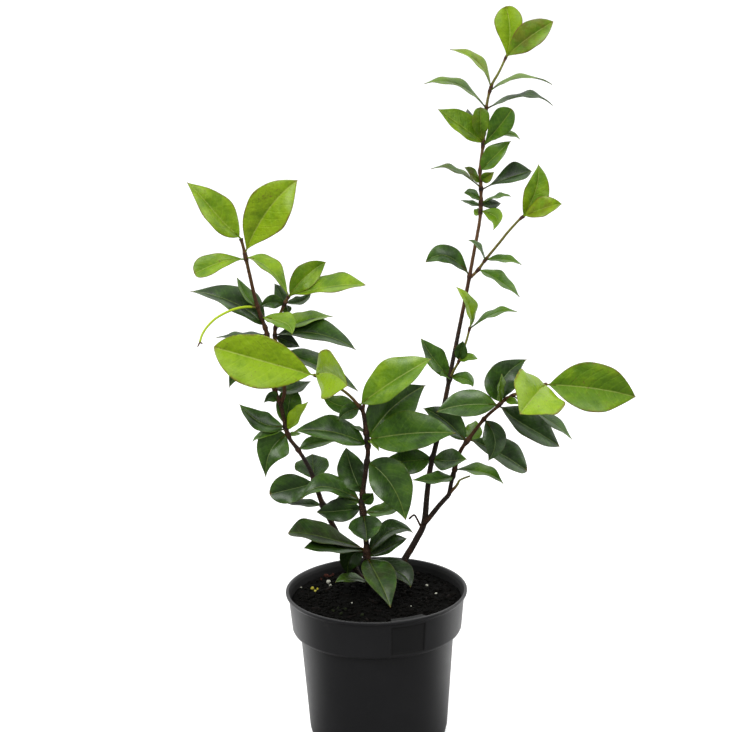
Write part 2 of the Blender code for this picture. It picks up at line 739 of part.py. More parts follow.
def make_soil(earth, stands):
    """The soil: it fills the pot, with an uneven top and a plain hole for each stem."""
    work = bmesh.new()
    below = [
        (wall_radius(SOIL_EDGE, WALL + GAP), SOIL_EDGE),
        (wall_radius(COLLAR_FOOT, WALL + GAP), COLLAR_FOOT + GAP),
        (BODY_TOP_RADIUS - WALL - GAP, STEP_INSIDE + GAP),
        (BODY_FOOT_RADIUS - WALL - GAP, BODY_FOOT + GAP),
        (BASE_INSIDE_RADIUS - GAP, FLOOR + GAP),
    ]
    rings = []
    for radius, height in below:
        ring = []
        for side in range(SOIL_SIDES):
            turn = math.tau * side / SOIL_SIDES
            ring.append(work.verts.new((radius * math.cos(turn), radius * math.sin(turn), height)))
        rings.append(ring)
    edge = below[0][0]
    top = []
    for number in range(1, SOIL_RINGS):
        radius = edge * (1 - number / SOIL_RINGS)
        ring = []
        for side in range(SOIL_SIDES):
            turn = math.tau * side / SOIL_SIDES
            x, y = radius * math.cos(turn), radius * math.sin(turn)
            ring.append(work.verts.new((x, y, soil_height(x, y))))
        top.append(ring)
    ordered = list(reversed(top)) + rings
    for upper, lower in zip(ordered, ordered[1:]):
        for side in range(SOIL_SIDES):
            following = (side + 1) % SOIL_SIDES
            work.faces.new((upper[side], lower[side], lower[following], upper[following]))
    centre = work.verts.new((0, 0, soil_height(0, 0)))
    for side in range(SOIL_SIDES):
        work.faces.new((centre, ordered[0][side], ordered[0][(side + 1) % SOIL_SIDES]))
    work.faces.new(tuple(reversed(ordered[-1])))
    bmesh.ops.triangulate(work, faces=work.faces)
    bmesh.ops.recalc_face_normals(work, faces=work.faces)
    mesh = bpy.data.meshes.new("soil")
    work.to_mesh(mesh)
    work.free()
    soil = new_object("soil", mesh, [earth])
    for line in stands:
        root, thick = line[0]
        hole = [(root - Vector((0, 0, GAP)), thick)] + [row for row in line[1:] if row[0].z < HOLE_TOP]
        cut_by(soil, new_object("hole", tube_mesh("hole", hole, STEM_SIDES, GAP), [earth]))
    return soil


def make_leafy(name, line, leaves, skins, others=()):
    """A stem with the leaves that grow on it and any stubs or twigs, joined into one body."""
    body = new_object(name, tube_mesh(name, line, STEM_SIDES), skins)
    extras = []
    for number, leaf in enumerate(leaves):
        foot = at_row(line, nearest(line, *leaf.foot))[0]
        label = f"{name}_leaf_{number}"
        extras.append(new_object(label, blade_mesh(label, leaf, foot), skins))
        extras.append(new_object(label + "_stalk", stalk_mesh(label + "_stalk", leaf, foot), skins))
    for number, other in enumerate(others):
        label = f"{name}_stub_{number}"
        extras.append(new_object(label, tube_mesh(label, other, STEM_SIDES), skins))
    return fused(body, extras)


def build():
    """Makes every piece of the part."""
    for old in list(bpy.data.objects):
        bpy.data.objects.remove(old)
    plastic = finish_material("pot_plastic", (0.035, 0.036, 0.038), 0.45)
    earth = finish_material("soil_earth", (0.012, 0.010, 0.008), 0.95)
    bark = finish_material("stem_bark", (0.045, 0.028, 0.018), 0.7)
    leaf = finish_material("leaf_mature", (0.045, 0.13, 0.025), 0.35)
    young = finish_material("leaf_young", (0.25, 0.42, 0.03), 0.35)
    pale = finish_material("shoot_pale", (0.4, 0.5, 0.08), 0.5)

    left, left_tip = cut_line(stem_line(LEFT_ROUTE, LEFT_ENTRY_PX), LEFT_TIP_JOINT_PX)
    left_stub, left_rest = cut_line(stem_line(LEFT_BRANCH_ROUTE), LEFT_BRANCH_JOINT_PX)
    left_branch, left_branch_tip = cut_line(left_rest, LEFT_BRANCH_TIP_JOINT_PX)
    pale_stub, pale_line = cut_line(stem_line(PALE_ROUTE), PALE_JOINT_PX)
    middle, middle_tip = cut_line(stem_line(MIDDLE_ROUTE, MIDDLE_ENTRY_PX), MIDDLE_TIP_JOINT_PX)
    tall, tall_tip = cut_line(stem_line(TALL_ROUTE, TALL_ENTRY_PX), TALL_TIP_JOINT_PX)
    right_stub, right_rest = cut_line(stem_line(RIGHT_ROUTE), RIGHT_JOINT_PX)
    right, right_tip = cut_line(right_rest, RIGHT_TIP_JOINT_PX)
    side_stub, side_rest = cut_line(stem_line(SIDE_ROUTE), SIDE_JOINT_PX)
    side, side_tip = cut_line(side_rest, SIDE_TIP_JOINT_PX)
    small_stub, small = cut_line(stem_line(SMALL_ROUTE), SMALL_JOINT_PX)
    middle_right = stem_line(MIDDLE_RIGHT_ROUTE)
    end = spot(PALE_ROUTE[-1][0], PALE_ROUTE[-1][1], PALE_ROUTE[-1][2] * MM)
    forks = [[(end, 1.2 * MM), (spot(px, py, PALE_ROUTE[-1][2] * MM), 0.9 * MM)] for px, py in PALE_FORK]

    make_pot(plastic)
    make_soil(earth, [left, middle, tall])
    skins = [bark, leaf]
    make_leafy("left_stem", left, LEFT_LEAVES, skins, [left_stub, pale_stub])
    make_leafy("left_branch", left_branch, LEFT_BRANCH_LEAVES, skins)
    make_leafy("middle_stem", middle, MIDDLE_LEAVES, skins, [middle_right])
    stubs = [right_stub, side_stub, small_stub, stem_line(TWIG_ROUTE)]
    make_leafy("tall_stem", tall, TALL_LEAVES, skins, stubs)
    make_leafy("right_branch", right, RIGHT_LEAVES, skins, [stem_line(SPUR_ROUTE)])
    make_leafy("side_shoot", side, SIDE_LEAVES, skins)
    make_leafy("small_shoot", small, SMALL_LEAVES, skins)
    fresh = [bark, young]
    make_leafy("left_tip", left_tip, LEFT_TIP_LEAVES, fresh)
    make_leafy("left_branch_tip", left_branch_tip, LEFT_BRANCH_TIP_LEAVES, fresh)
    make_leafy("middle_tip", middle_tip, MIDDLE_TIP_LEAVES, fresh)
    make_leafy("tall_tip", tall_tip, TALL_TIP_LEAVES, fresh)
    make_leafy("side_tip", side_tip, SIDE_TIP_LEAVES, fresh)
    make_leafy("right_tip", right_tip, RIGHT_TIP_LEAVES, fresh)
    make_leafy("pale_shoot", pale_line, [], [pale], forks)


build()
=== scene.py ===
"""Potted star jasmine: the looks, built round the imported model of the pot, the soil and the three stems.

Metres, +Z up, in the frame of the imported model. The front of the plant faces -Y.
"""

import math
import random
from collections import namedtuple

import bmesh
import bpy
from mathutils import Matrix, Vector, noise
from mathutils.geometry import intersect_point_line


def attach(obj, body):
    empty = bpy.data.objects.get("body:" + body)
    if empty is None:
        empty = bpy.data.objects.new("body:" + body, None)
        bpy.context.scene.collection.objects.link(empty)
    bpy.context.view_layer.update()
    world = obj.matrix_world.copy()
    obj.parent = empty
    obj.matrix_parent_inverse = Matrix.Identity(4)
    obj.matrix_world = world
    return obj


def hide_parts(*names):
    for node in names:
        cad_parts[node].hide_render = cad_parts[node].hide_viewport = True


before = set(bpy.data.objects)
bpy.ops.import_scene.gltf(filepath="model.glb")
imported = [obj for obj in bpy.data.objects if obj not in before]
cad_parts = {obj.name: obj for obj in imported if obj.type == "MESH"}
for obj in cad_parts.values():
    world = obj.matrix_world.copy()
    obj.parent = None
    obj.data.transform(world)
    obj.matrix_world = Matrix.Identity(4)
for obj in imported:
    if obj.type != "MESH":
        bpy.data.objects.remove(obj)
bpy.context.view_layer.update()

MM = 0.001


# Camera
# A long lens looks down a little on the plant, with a slight roll. Stems and leaves are placed along its
# sight lines: by the picture point where they show, in a picture 732 pixels wide, and by their depth.
PICTURE_SIZE = 732
PICTURE_MIDDLE = PICTURE_SIZE / 2
PICTURE_FOCUS = 2493
VIEW_PITCH = math.radians(16.3)
VIEW_ROLL = math.radians(1.1)
VIEW_DISTANCE = 1.8
RIM_MIDDLE_PX = (376.4, 588.7)
RIM_HEIGHT = 115 * MM
SENSOR = 36

AHEAD = Vector((0, math.cos(VIEW_PITCH), -math.sin(VIEW_PITCH)))
LEVEL_UP = Vector((0, math.sin(VIEW_PITCH), math.cos(VIEW_PITCH)))
VIEW_RIGHT = Vector((1, 0, 0)) * math.cos(VIEW_ROLL) - LEVEL_UP * math.sin(VIEW_ROLL)
VIEW_UP = LEVEL_UP * math.cos(VIEW_ROLL) + Vector((1, 0, 0)) * math.sin(VIEW_ROLL)


def sight(px, py):
    """The sight line through a picture point, with one metre of depth."""
    right = (px - PICTURE_MIDDLE) / PICTURE_FOCUS
    down = (py - PICTURE_MIDDLE) / PICTURE_FOCUS
    return AHEAD + right * VIEW_RIGHT - down * VIEW_UP


EYE = Vector((0, 0, RIM_HEIGHT)) - VIEW_DISTANCE * sight(*RIM_MIDDLE_PX)


def spot(px, py, back):
    """The point that shows at a picture point and lies back metres behind the pot's axis."""
    line = sight(px, py)
    return EYE + line * (back - EYE.y) / line.y


def at_height(px, py, height):
    """The point that shows at a picture point and lies at a height."""
    line = sight(px, py)
    return EYE + line * (height - EYE.z) / line.z


def seen_at(point):
    """The picture point at which a point shows."""
    line = point - EYE
    depth = line.dot(AHEAD)
    right = line.dot(VIEW_RIGHT) / depth
    down = -line.dot(VIEW_UP) / depth
    return Vector((PICTURE_MIDDLE + PICTURE_FOCUS * right, PICTURE_MIDDLE + PICTURE_FOCUS * down))


lens = bpy.data.cameras.new("camera")
lens.sensor_width = SENSOR
lens.lens = PICTURE_FOCUS / PICTURE_SIZE * SENSOR
lens.clip_start = 0.05
lens.clip_end = 60
camera = bpy.data.objects.new("camera", lens)
turned = Matrix((VIEW_RIGHT, VIEW_UP, -AHEAD)).transposed()
camera.matrix_world = Matrix.Translation(EYE) @ turned.to_4x4()
bpy.context.scene.collection.objects.link(camera)
bpy.context.scene.camera = camera


# Studio floor and light
# The pot stands on a wide white floor in a white studio, dim in front and bright behind. Large soft lamps
# hang over the left front, over the camera and to the right. The floor is lit past white, so that no
# horizon shows, but what the pot's front mirrors of it is dark.
FLOOR_SIZE = 40
WHITE_LIGHT = 1.0
FLOOR_GLOW = 0.3
FRONT_LIGHT = 0.1
BACK_LIGHT = 1.0
SKY_LIGHT = 0.4


class Wire:
    """A socket in a node tree. Sums, differences and products of wires and numbers add Math nodes."""

    def __init__(self, tree, socket=None):
        self.tree = tree
        self.socket = socket

    def add(self, kind, inputs=None, output=0, stops=None, **settings):
        """A node of a kind: its settings and colour stops first, then its inputs, from numbers or wires."""
        node = self.tree.nodes.new(kind)
        for name, value in settings.items():
            setattr(node, name, value)
        for number, (place, colour) in enumerate(stops or ()):
            ramp = node.color_ramp.elements
            stop = ramp[number] if number < 2 else ramp.new(place)
            stop.position = place
            stop.color = colour
        for name, value in (inputs or {}).items():
            if isinstance(value, Wire):
                self.tree.links.new(value.socket, node.inputs[name])
            else:
                node.inputs[name].default_value = value
        return Wire(self.tree, node.outputs[output])

    def split(self):
        """The X, Y and Z of this wire's vector, as three wires."""
        parts = self.add("ShaderNodeSeparateXYZ", {0: self}).socket.node.outputs
        return [Wire(self.tree, part) for part in parts]

    def attribute(self, name, output="Fac"):
        """What a piece's points carry under a name."""
        return self.add("ShaderNodeAttribute", attribute_name=name, output=output)

    def math(self, operation, *others):
        """This wire and others through one Math node."""
        return self.add("ShaderNodeMath", dict(enumerate((self, *others))), operation=operation)

    def __add__(self, other):
        return self.math("ADD", other)

    def __sub__(self, other):
        return self.math("SUBTRACT", other)

    def __rsub__(self, other):
        return self.add("ShaderNodeMath", {0: other, 1: self}, operation="SUBTRACT")

    def __mul__(self, other):
        return self.math("MULTIPLY", other)

    def __pow__(self, other):
        return self.math("POWER", other)

    __radd__ = __add__
    __rmul__ = __mul__

    def step(self, low, high):
        """0 below low and 1 above high, with a smooth rise between them."""
        values = {"Value": self, "From Min": low, "From Max": high}
        return self.add("ShaderNodeMapRange", values, interpolation_type="SMOOTHSTEP")

    def blend(self, low, high):
        """The colour low where this wire is 0 and high where it is 1."""
        values = {"Factor": self, 6: low, 7: high}
        return self.add("ShaderNodeMix", values, output=2, data_type="RGBA")

    def noise(self, scale, detail=3.0, rough=0.5):
        """Noise over this wire's vector, as a value about 0.5."""
        values = {"Vector": self, "Scale": scale, "Detail": detail, "Roughness": rough}
        return self.add("ShaderNodeTexNoise", values)

    def relief(self, strength, distance):
        """The surface's normal, with this wire as its height."""
        values = {"Height": self, "Strength": strength, "Distance": distance}
        return self.add("ShaderNodeBump", values, output="Normal")


def as_light(number):
    """A number of a colour chart, from 0 to 255, as a share of light."""
    share = number / 255
    return ((share + 0.055) / 1.055) ** 2.4 if share > 0.04045 else share / 12.92


def paint(red, green, blue):
    """An opaque colour, by its three numbers in a colour chart."""
    return as_light(red), as_light(green), as_light(blue), 1


def new_material(name, **fixed):
    """A Principled material. Returns it, a wire of the object's coordinates and the shader."""
    material = bpy.data.materials.new(name)
    material.use_nodes = True
    shader = material.node_tree.nodes["Principled BSDF"]
    for socket, value in fixed.items():
        shader.inputs[socket.replace("_", " ")].default_value = value
    place = Wire(material.node_tree).add("ShaderNodeTexCoord", output="Object")
    return material, place, shader


def connect(wire, shader, socket):
    """Leads a wire into one of a shader's sockets."""
    wire.tree.links.new(wire.socket, shader.inputs[socket])


def new_piece(name, points, faces, materials, slots=None):
    """A smooth-shaded mesh object, linked into the scene."""
    mesh = bpy.data.meshes.new(name)
    mesh.from_pydata(points, [], faces)
    for material in materials:
        mesh.materials.append(material)
    if slots:
        mesh.polygons.foreach_set("material_index", slots)
    mesh.shade_smooth()
    piece = bpy.data.objects.new(name, mesh)
    bpy.context.scene.collection.objects.link(piece)
    return piece


white, place, shader = new_material(
    "studio_white", Roughness=0.6, Emission_Color=(1, 1, 1, 1), Emission_Strength=FLOOR_GLOW
)
connect(place.noise(3.0).blend((0.88, 0.88, 0.88, 1), (0.92, 0.92, 0.92, 1)), shader, "Base Color")
dim = place.add("ShaderNodeBsdfDiffuse", {"Color": (0.22, 0.22, 0.22, 1)})
glow = Wire(place.tree, shader.outputs["BSDF"])
straight = place.add("ShaderNodeLightPath", output="Is Camera Ray")
rear = place.split()[1].step(-0.05, 0.1)
cover = place.add("ShaderNodeMixShader", {0: straight.math("MAXIMUM", rear), 1: dim, 2: glow})
white.node_tree.links.new(cover.socket, white.node_tree.nodes["Material Output"].inputs["Surface"])
reach = FLOOR_SIZE / 2
corners = [(-reach, -reach, 0), (reach, -reach, 0), (reach, reach, 0), (-reach, reach, 0)]
floor = new_piece("studio_floor", corners, [(0, 1, 2, 3)], [white])

world = bpy.data.worlds.new("studio_light")
world.use_nodes = True
bpy.context.scene.world = world
wire = Wire(world.node_tree)
_, rear, above = wire.add("ShaderNodeTexCoord", output="Generated").split()
behind = rear.step(-0.5, 0.7) * (BACK_LIGHT - FRONT_LIGHT)
strength = FRONT_LIGHT + behind + above.step(0.0, 0.9) * SKY_LIGHT
lit = wire.add("ShaderNodeBackground", {"Color": (1, 1, 1, 1), "Strength": strength})
seen = wire.add("ShaderNodeBackground", {"Color": (1, 1, 1, 1), "Strength": WHITE_LIGHT})
straight = wire.add("ShaderNodeLightPath", output="Is Camera Ray")
mixed = wire.add("ShaderNodeMixShader", {0: straight, 1: lit, 2: seen})
world.node_tree.links.new(mixed.socket, world.node_tree.nodes["World Output"].inputs["Surface"])


def soft_lamp(name, place, target, width, height, power):
    """A large soft rectangular lamp that looks at a point."""
    light = bpy.data.lights.new(name, "AREA")
    light.shape = "RECTANGLE"
    light.size = width
    light.size_y = height
    light.energy = power
    lamp = bpy.data.objects.new(name, light)
    lamp.location = place
    lamp.rotation_euler = (Vector(target) - Vector(place)).to_track_quat("-Z", "Y").to_euler()
    bpy.context.scene.collection.objects.link(lamp)


soft_lamp("key_lamp", (-1.3, -1.1, 2.1), (0, 0, 0.25), 1.4, 1.4, 43)
soft_lamp("front_lamp", (0.5, -2.3, 1.7), (0, 0, 0.25), 1.6, 1.2, 28)
soft_lamp("right_lamp", (1.7, 0.1, 1.1), (0, 0, 0.2), 0.9, 1.6, 12)
bpy.context.scene.view_settings.view_transform = "Standard"


# Pot
# One moulded pot of dark grey plastic: a thin turned wall with a flared lip, a deep collar, a sloped step
# under it and a floor with drainage holes. A shallow recess for a plant label is pressed into the front of
# the collar, and the pocket behind it shows as a thicker stretch of rim.
POT_HEIGHT = RIM_HEIGHT
LIP_RADIUS = 65.5 * MM
LIP_FOOT = 111.5 * MM
COLLAR_TOP_RADIUS = 63.5 * MM
COLLAR_FOOT_RADIUS = 61.2 * MM
COLLAR_FOOT = 87.3 * MM
STEP_FOOT = 83.4 * MM
STEP_INSIDE = 84.2 * MM
BODY_TOP_RADIUS = 55.5 * MM
BODY_FOOT_RADIUS = 50.1 * MM
BODY_FOOT = 11 * MM
BASE_RADIUS = 47.6 * MM
BASE_INSIDE_RADIUS = 46.6 * MM
WALL = 1.5 * MM
POT_FLOOR = 2 * MM
PROFILE_STEP = 1.1 * MM
ARC_STEPS = 5
POT_COLUMNS = 180
CREASE = math.radians(40)
DRAIN_COUNT = 8
DRAIN_SIDES = 24
DRAIN_RING = 35 * MM
DRAIN_RADIUS = 4.5 * MM
LABEL_START = math.radians(9.1)
LABEL_END = math.radians(32.2)
LABEL_FOOT = 88.4 * MM
LABEL_TOP = 109.6 * MM
LABEL_DEPTH = 0.6 * MM
LABEL_ROUND = 0.5 * MM
LABEL_SHADOW = 1.2 * MM
PANEL_PROUD = 0.35 * MM
PANEL_START = math.radians(-45)
PANEL_END = math.radians(7.9)
POCKET_DEPTH = 4.6 * MM
POCKET_TOP = 103 * MM
POCKET_FOOT = 97 * MM
INSIDE_SHADE_FADE = 6 * MM


def smooth(value, low, high):
    """0 at low and 1 at high, with a smooth rise between them."""
    share = min(max((value - low) / (high - low), 0), 1)
    return share * share * (3 - 2 * share)


def arc_corner(before, corner, after, radius):
    """The points of a round corner between two straight runs of a profile."""
    into = (before - corner).normalized()
    away = (after - corner).normalized()
    half = math.acos(max(-1, min(1, into.dot(away)))) / 2
    reach = min(radius / math.tan(half), (before - corner).length / 2, (after - corner).length / 2)
    start, end = corner + into * reach, corner + away * reach
    for number in range(ARC_STEPS + 1):
        t = number / ARC_STEPS
        yield start * (1 - t) ** 2 + corner * 2 * t * (1 - t) + end * t**2


def rounded(corners):
    """A closely spaced profile of radius and height, from corners that each have a corner radius."""
    spots = [Vector((radius, height, 0)) for radius, height, _ in corners]
    line = [spots[0]]
    for index in range(1, len(spots) - 1):
        line.extend(arc_corner(spots[index - 1], spots[index], spots[index + 1], corners[index][2]))
    line.append(spots[-1])
    fine = [line[0]]
    for start, end in zip(line, line[1:]):
        count = max(1, math.ceil((end - start).length / PROFILE_STEP))
        fine.extend(start.lerp(end, number / count) for number in range(1, count + 1))
    return fine


def from_front(turn):
    """A turn about the pot's axis as it counts from the front, to the right up and to the left down."""
    return turn if turn < math.pi else turn - math.tau


def in_label(turn):
    """1 inside the label's stretch of the collar, 0 outside it, with narrow slopes at its ends."""
    slope = LABEL_ROUND / COLLAR_TOP_RADIUS
    begun = smooth(turn, LABEL_START - slope, LABEL_START + slope)
    return begun * (1 - smooth(turn, LABEL_END - slope, LABEL_END + slope))


def pot_offset(turn, height, inner):
    """How far the wall lies off its turned shape, for the label's recess, the panel and the pocket."""
    if inner:
        return -POCKET_DEPTH * in_label(turn) * smooth(height, POCKET_FOOT, POCKET_TOP)
    tall = smooth(height, LABEL_FOOT - LABEL_ROUND, LABEL_FOOT + LABEL_ROUND)
    tall *= 1 - smooth(height, LABEL_TOP - LABEL_ROUND, LABEL_TOP + LABEL_ROUND)
    slope = LABEL_ROUND / COLLAR_TOP_RADIUS
    panel = smooth(turn, PANEL_START, 0) * (1 - smooth(turn, PANEL_END - slope, PANEL_END + slope))
    panel *= smooth(height, COLLAR_FOOT - 1.5 * MM, COLLAR_FOOT)
    panel *= 1 - smooth(height, LIP_FOOT - 1 * MM, POT_HEIGHT)
    return PANEL_PROUD * panel - LABEL_DEPTH * in_label(turn) * tall


pot_outside = [
    (0, 0, 0),
    (BASE_RADIUS, 0, 2 * MM),
    (BODY_FOOT_RADIUS, BODY_FOOT, 8 * MM),
    (BODY_TOP_RADIUS, STEP_FOOT, 1.5 * MM),
    (COLLAR_FOOT_RADIUS - 0.8 * MM, COLLAR_FOOT - 1.6 * MM, 1 * MM),
    (COLLAR_FOOT_RADIUS, COLLAR_FOOT, 1.2 * MM),
    (COLLAR_TOP_RADIUS, LIP_FOOT, 2 * MM),
    (LIP_RADIUS, LIP_FOOT + 1.6 * MM, 1.6 * MM),
    (LIP_RADIUS, POT_HEIGHT, 0.6 * MM),
]
pot_inside = [
    (LIP_RADIUS - WALL - 0.5 * MM, POT_HEIGHT, 0.6 * MM),
    (COLLAR_TOP_RADIUS - WALL, LIP_FOOT, 2 * MM),
    (COLLAR_FOOT_RADIUS - WALL, COLLAR_FOOT, 1 * MM),
    (BODY_TOP_RADIUS - WALL, STEP_INSIDE, 1 * MM),
    (BODY_FOOT_RADIUS - WALL, BODY_FOOT, 1 * MM),
    (BASE_INSIDE_RADIUS, POT_FLOOR, 0.3 * MM),
    (0, POT_FLOOR, 0),
]
pot_profile = rounded(pot_outside + pot_inside)
rim_row = max(range(len(pot_profile)), key=lambda row: (pot_profile[row].y, -pot_profile[row].x))
pot_turns = [math.tau * column / POT_COLUMNS for column in range(POT_COLUMNS)]
for edge in (PANEL_END, LABEL_START, LABEL_END):
    pot_turns += [edge + math.radians(share) for share in (-0.5, -0.3, -0.1, 0.1, 0.3, 0.5)]
pot_turns = sorted(set(pot_turns))

pot_points, pot_faces = [], []
rows = len(pot_profile) - 2
for turn in pot_turns:
    way = Vector((math.sin(turn), -math.cos(turn), 0))
    for row in range(1, rows + 1):
        radius, height, _ = pot_profile[row]
        radius += pot_offset(from_front(turn), height, row >= rim_row)
        pot_points.append(way * radius + Vector((0, 0, height)))
for column in range(len(pot_turns)):
    here, there = column * rows, (column + 1) % len(pot_turns) * rows
    for row in range(rows - 1):
        pot_faces.append((here + row, there + row, there + row + 1, here + row + 1))
pot_faces.append(tuple(column * rows for column in reversed(range(len(pot_turns)))))
pot_faces.append(tuple(column * rows + rows - 1 for column in range(len(pot_turns))))


def label_field(turned_to, high, soft):
    """1 inside the label's recess and 0 outside it, with slopes of a width between them."""
    slope = soft / COLLAR_TOP_RADIUS
    field = turned_to.step(LABEL_START - slope, LABEL_START + slope)
    field = field * (1 - turned_to.step(LABEL_END - slope, LABEL_END + slope))
    field = field * high.step(LABEL_FOOT - soft, LABEL_FOOT + soft)
    return field * (1 - high.step(LABEL_TOP - soft, LABEL_TOP + soft))


plastic, place, shader = new_material("pot_plastic", Specular_IOR_Level=0.4)
across, back, high = place.split()
cloudy = place.noise(22.0, 4.0)
dusty = place.noise(160.0, 5.0, 0.6)
grain = place.noise(1700.0, 2.0)
turned_to = across.math("ARCTAN2", back * -1)
handled = cloudy.step(0.45, 0.75) * 0.5 + dusty.step(0.55, 0.8) * 0.5
splashed = dusty.step(0.6, 0.72) * high.step(100 * MM, 113 * MM) * 0.5
colour = handled.blend(paint(17, 17, 19), paint(25, 25, 27))
colour = splashed.blend(colour, paint(40, 37, 34))
pressed = label_field(turned_to, high, LABEL_ROUND)
colour = pressed.blend(colour, paint(4, 4, 5))
# Round the recess's edge runs a painted shadow: a near-black, slightly rougher line where the recess's
# walls are in shade.
edge = label_field(turned_to, high, LABEL_SHADOW)
recess_edge_shadow = edge * (1 - edge) * 4
colour = recess_edge_shadow.blend(colour, paint(1, 1, 1))
taper = (COLLAR_TOP_RADIUS - COLLAR_FOOT_RADIUS) / (LIP_FOOT - COLLAR_FOOT)
wall = (across * across + back * back) ** 0.5 - (high - COLLAR_FOOT) * taper
# Painted shade: the inside of the wall above the collar's foot is coloured near-black, fading in over a few
# millimetres.
inner = 1 - wall.step(COLLAR_FOOT_RADIUS - 1.1 * MM, COLLAR_FOOT_RADIUS - 0.6 * MM)
inner = inner * high.step(COLLAR_FOOT, COLLAR_FOOT + INSIDE_SHADE_FADE)
colour = inner.blend(colour, paint(7, 7, 7))
connect(colour, shader, "Base Color")
# The recess and the painted-shade inside of the wall also get a rougher finish from this mask.
worn = (pressed + inner).math("MINIMUM", 1.0)
connect(0.34 + cloudy * 0.1 + dusty * 0.08 + worn * 0.3 + recess_edge_shadow * 0.2, shader, "Roughness")
connect((grain * 0.7 + dusty * 0.3).relief(0.12, 0.4 * MM), shader, "Normal")


def tube_faces(start, rings, sides):
    """The faces of a closed tube whose points lie ring after ring, from a first number on."""
    for ring in range(rings - 1):
        for side in range(sides):
            here = start + ring * sides + side
            there = start + ring * sides + (side + 1) % sides
            yield here, there, there + sides, here + sides
    last = start + (rings - 1) * sides
    yield tuple(start + side for side in reversed(range(sides)))
    yield tuple(last + side for side in range(sides))


pot = new_piece("pot_shell", pot_points, pot_faces, [plastic])
drill_points, drill_faces = [], []
for number in range(DRAIN_COUNT):
    turn = math.tau * (number + 0.5) / DRAIN_COUNT
    centre = Vector((math.cos(turn), math.sin(turn), 0)) * DRAIN_RING
    drill_faces += tube_faces(len(drill_points), 2, DRAIN_SIDES)
    for height in (-POT_FLOOR, 2 * POT_FLOOR):
        for side in range(DRAIN_SIDES):
            angle = math.tau * side / DRAIN_SIDES
            reach = Vector((math.cos(angle), math.sin(angle), 0)) * DRAIN_RADIUS
            drill_points.append(centre + reach + Vector((0, 0, height)))
drills = new_piece("drills", drill_points, drill_faces, [plastic])


def cut_away(piece, cutter):
    """Cuts a cutter's shape out of a piece, and removes the cutter."""
    cut = piece.modifiers.new("Cut", "BOOLEAN")
    cut.object = cutter
    cut.operation = "DIFFERENCE"
    cut.solver = "EXACT"
    view = bpy.context.evaluated_depsgraph_get()
    left = bpy.data.meshes.new_from_object(piece.evaluated_get(view))
    piece.modifiers.clear()
    piece.data = left
    bpy.data.objects.remove(cutter)


cut_away(pot, drills)
pot.data.shade_smooth()
pot.data.set_sharp_from_angle(angle=CREASE)
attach(pot, "root")
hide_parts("pot")


# Soil
# Dark peaty potting soil, filled in to a finger's breadth under the rim and settled into a low mound with
# clods. It reaches down to the pot's floor, and its side follows the wall and the label's pocket.
SOIL_EDGE = 107.5 * MM
SOIL_CORNER = 1.5 * MM
SOIL_MOUND = 2.5 * MM
SOIL_ROUGH = 1.6 * MM
SOIL_CLOD = 12 * MM
CRUMBLE = 1.3 * MM
CRUMBLE_SIZE = 3.2 * MM
GRIT = 0.5 * MM
GRIT_SIZE = 1.3 * MM
SOIL_RINGS = 52
SOIL_SIDES = len(pot_turns)
POCKET_ROWS = 7
GAP = 0.3 * MM


def wall_radius(height, inside):
    """The collar's outer radius at a height, less a distance to its inside."""
    share = (height - COLLAR_FOOT) / (LIP_FOOT - COLLAR_FOOT)
    return COLLAR_FOOT_RADIUS + (COLLAR_TOP_RADIUS - COLLAR_FOOT_RADIUS) * share - inside


SOIL_RADIUS = wall_radius(SOIL_EDGE, WALL + GAP)


def soil_height(x, y):
    """The soil's top: a low mound with clods, level at the pot's wall."""
    out = min(math.hypot(x, y) / SOIL_RADIUS, 1)
    rough = noise.fractal(Vector((x, y, 0)) / SOIL_CLOD, 1.0, 2.0, 3)
    return SOIL_EDGE + SOIL_MOUND * (1 - out**2) + SOIL_ROUGH * rough * (1 - out**4)


def crumbled(x, y):
    """The soil's top with its crumbs and grit."""
    crumb = noise.noise(Vector((x, y, 0)) / CRUMBLE_SIZE)
    grit = noise.noise(Vector((x, y, 5)) / GRIT_SIZE)
    return soil_height(x, y) + CRUMBLE * crumb + GRIT * grit - CRUMBLE / 4


soil_points, soil_faces = [], []
soil_below = [(SOIL_RADIUS, SOIL_EDGE - SOIL_CORNER)]
for row in range(POCKET_ROWS):
    height = POCKET_TOP + (POCKET_FOOT - POCKET_TOP) * row / (POCKET_ROWS - 1)
    soil_below.append((wall_radius(height, WALL + GAP), height))
soil_below += [
    (wall_radius(COLLAR_FOOT, WALL + GAP), COLLAR_FOOT + GAP),
    (BODY_TOP_RADIUS - WALL - GAP, STEP_INSIDE + GAP),
    (BODY_FOOT_RADIUS - WALL - GAP, BODY_FOOT + GAP),
    (BASE_INSIDE_RADIUS - GAP, POT_FLOOR + GAP),
]
for ring in range(1, SOIL_RINGS + 1):
    for turn in pot_turns:
        reach = SOIL_RADIUS - POCKET_DEPTH * in_label(from_front(turn))
        radius = reach * ring / SOIL_RINGS
        x, y = radius * math.sin(turn), -radius * math.cos(turn)
        soil_points.append((x, y, crumbled(x, y)))
for radius, height in soil_below:
    for turn in pot_turns:
        reach = radius + pot_offset(from_front(turn), height, True)
        soil_points.append((reach * math.sin(turn), -reach * math.cos(turn), height))
soil_rows = SOIL_RINGS + len(soil_below)
for row in range(soil_rows - 1):
    for side in range(SOIL_SIDES):
        here, following = row * SOIL_SIDES + side, row * SOIL_SIDES + (side + 1) % SOIL_SIDES
        soil_faces.append((here, here + SOIL_SIDES, following + SOIL_SIDES, following))
soil_points.append((0, 0, crumbled(0, 0)))
crown = len(soil_points) - 1
for side in range(SOIL_SIDES):
    soil_faces.append((crown, side, (side + 1) % SOIL_SIDES))
last = (soil_rows - 1) * SOIL_SIDES
soil_faces.append(tuple(last + side for side in reversed(range(SOIL_SIDES))))


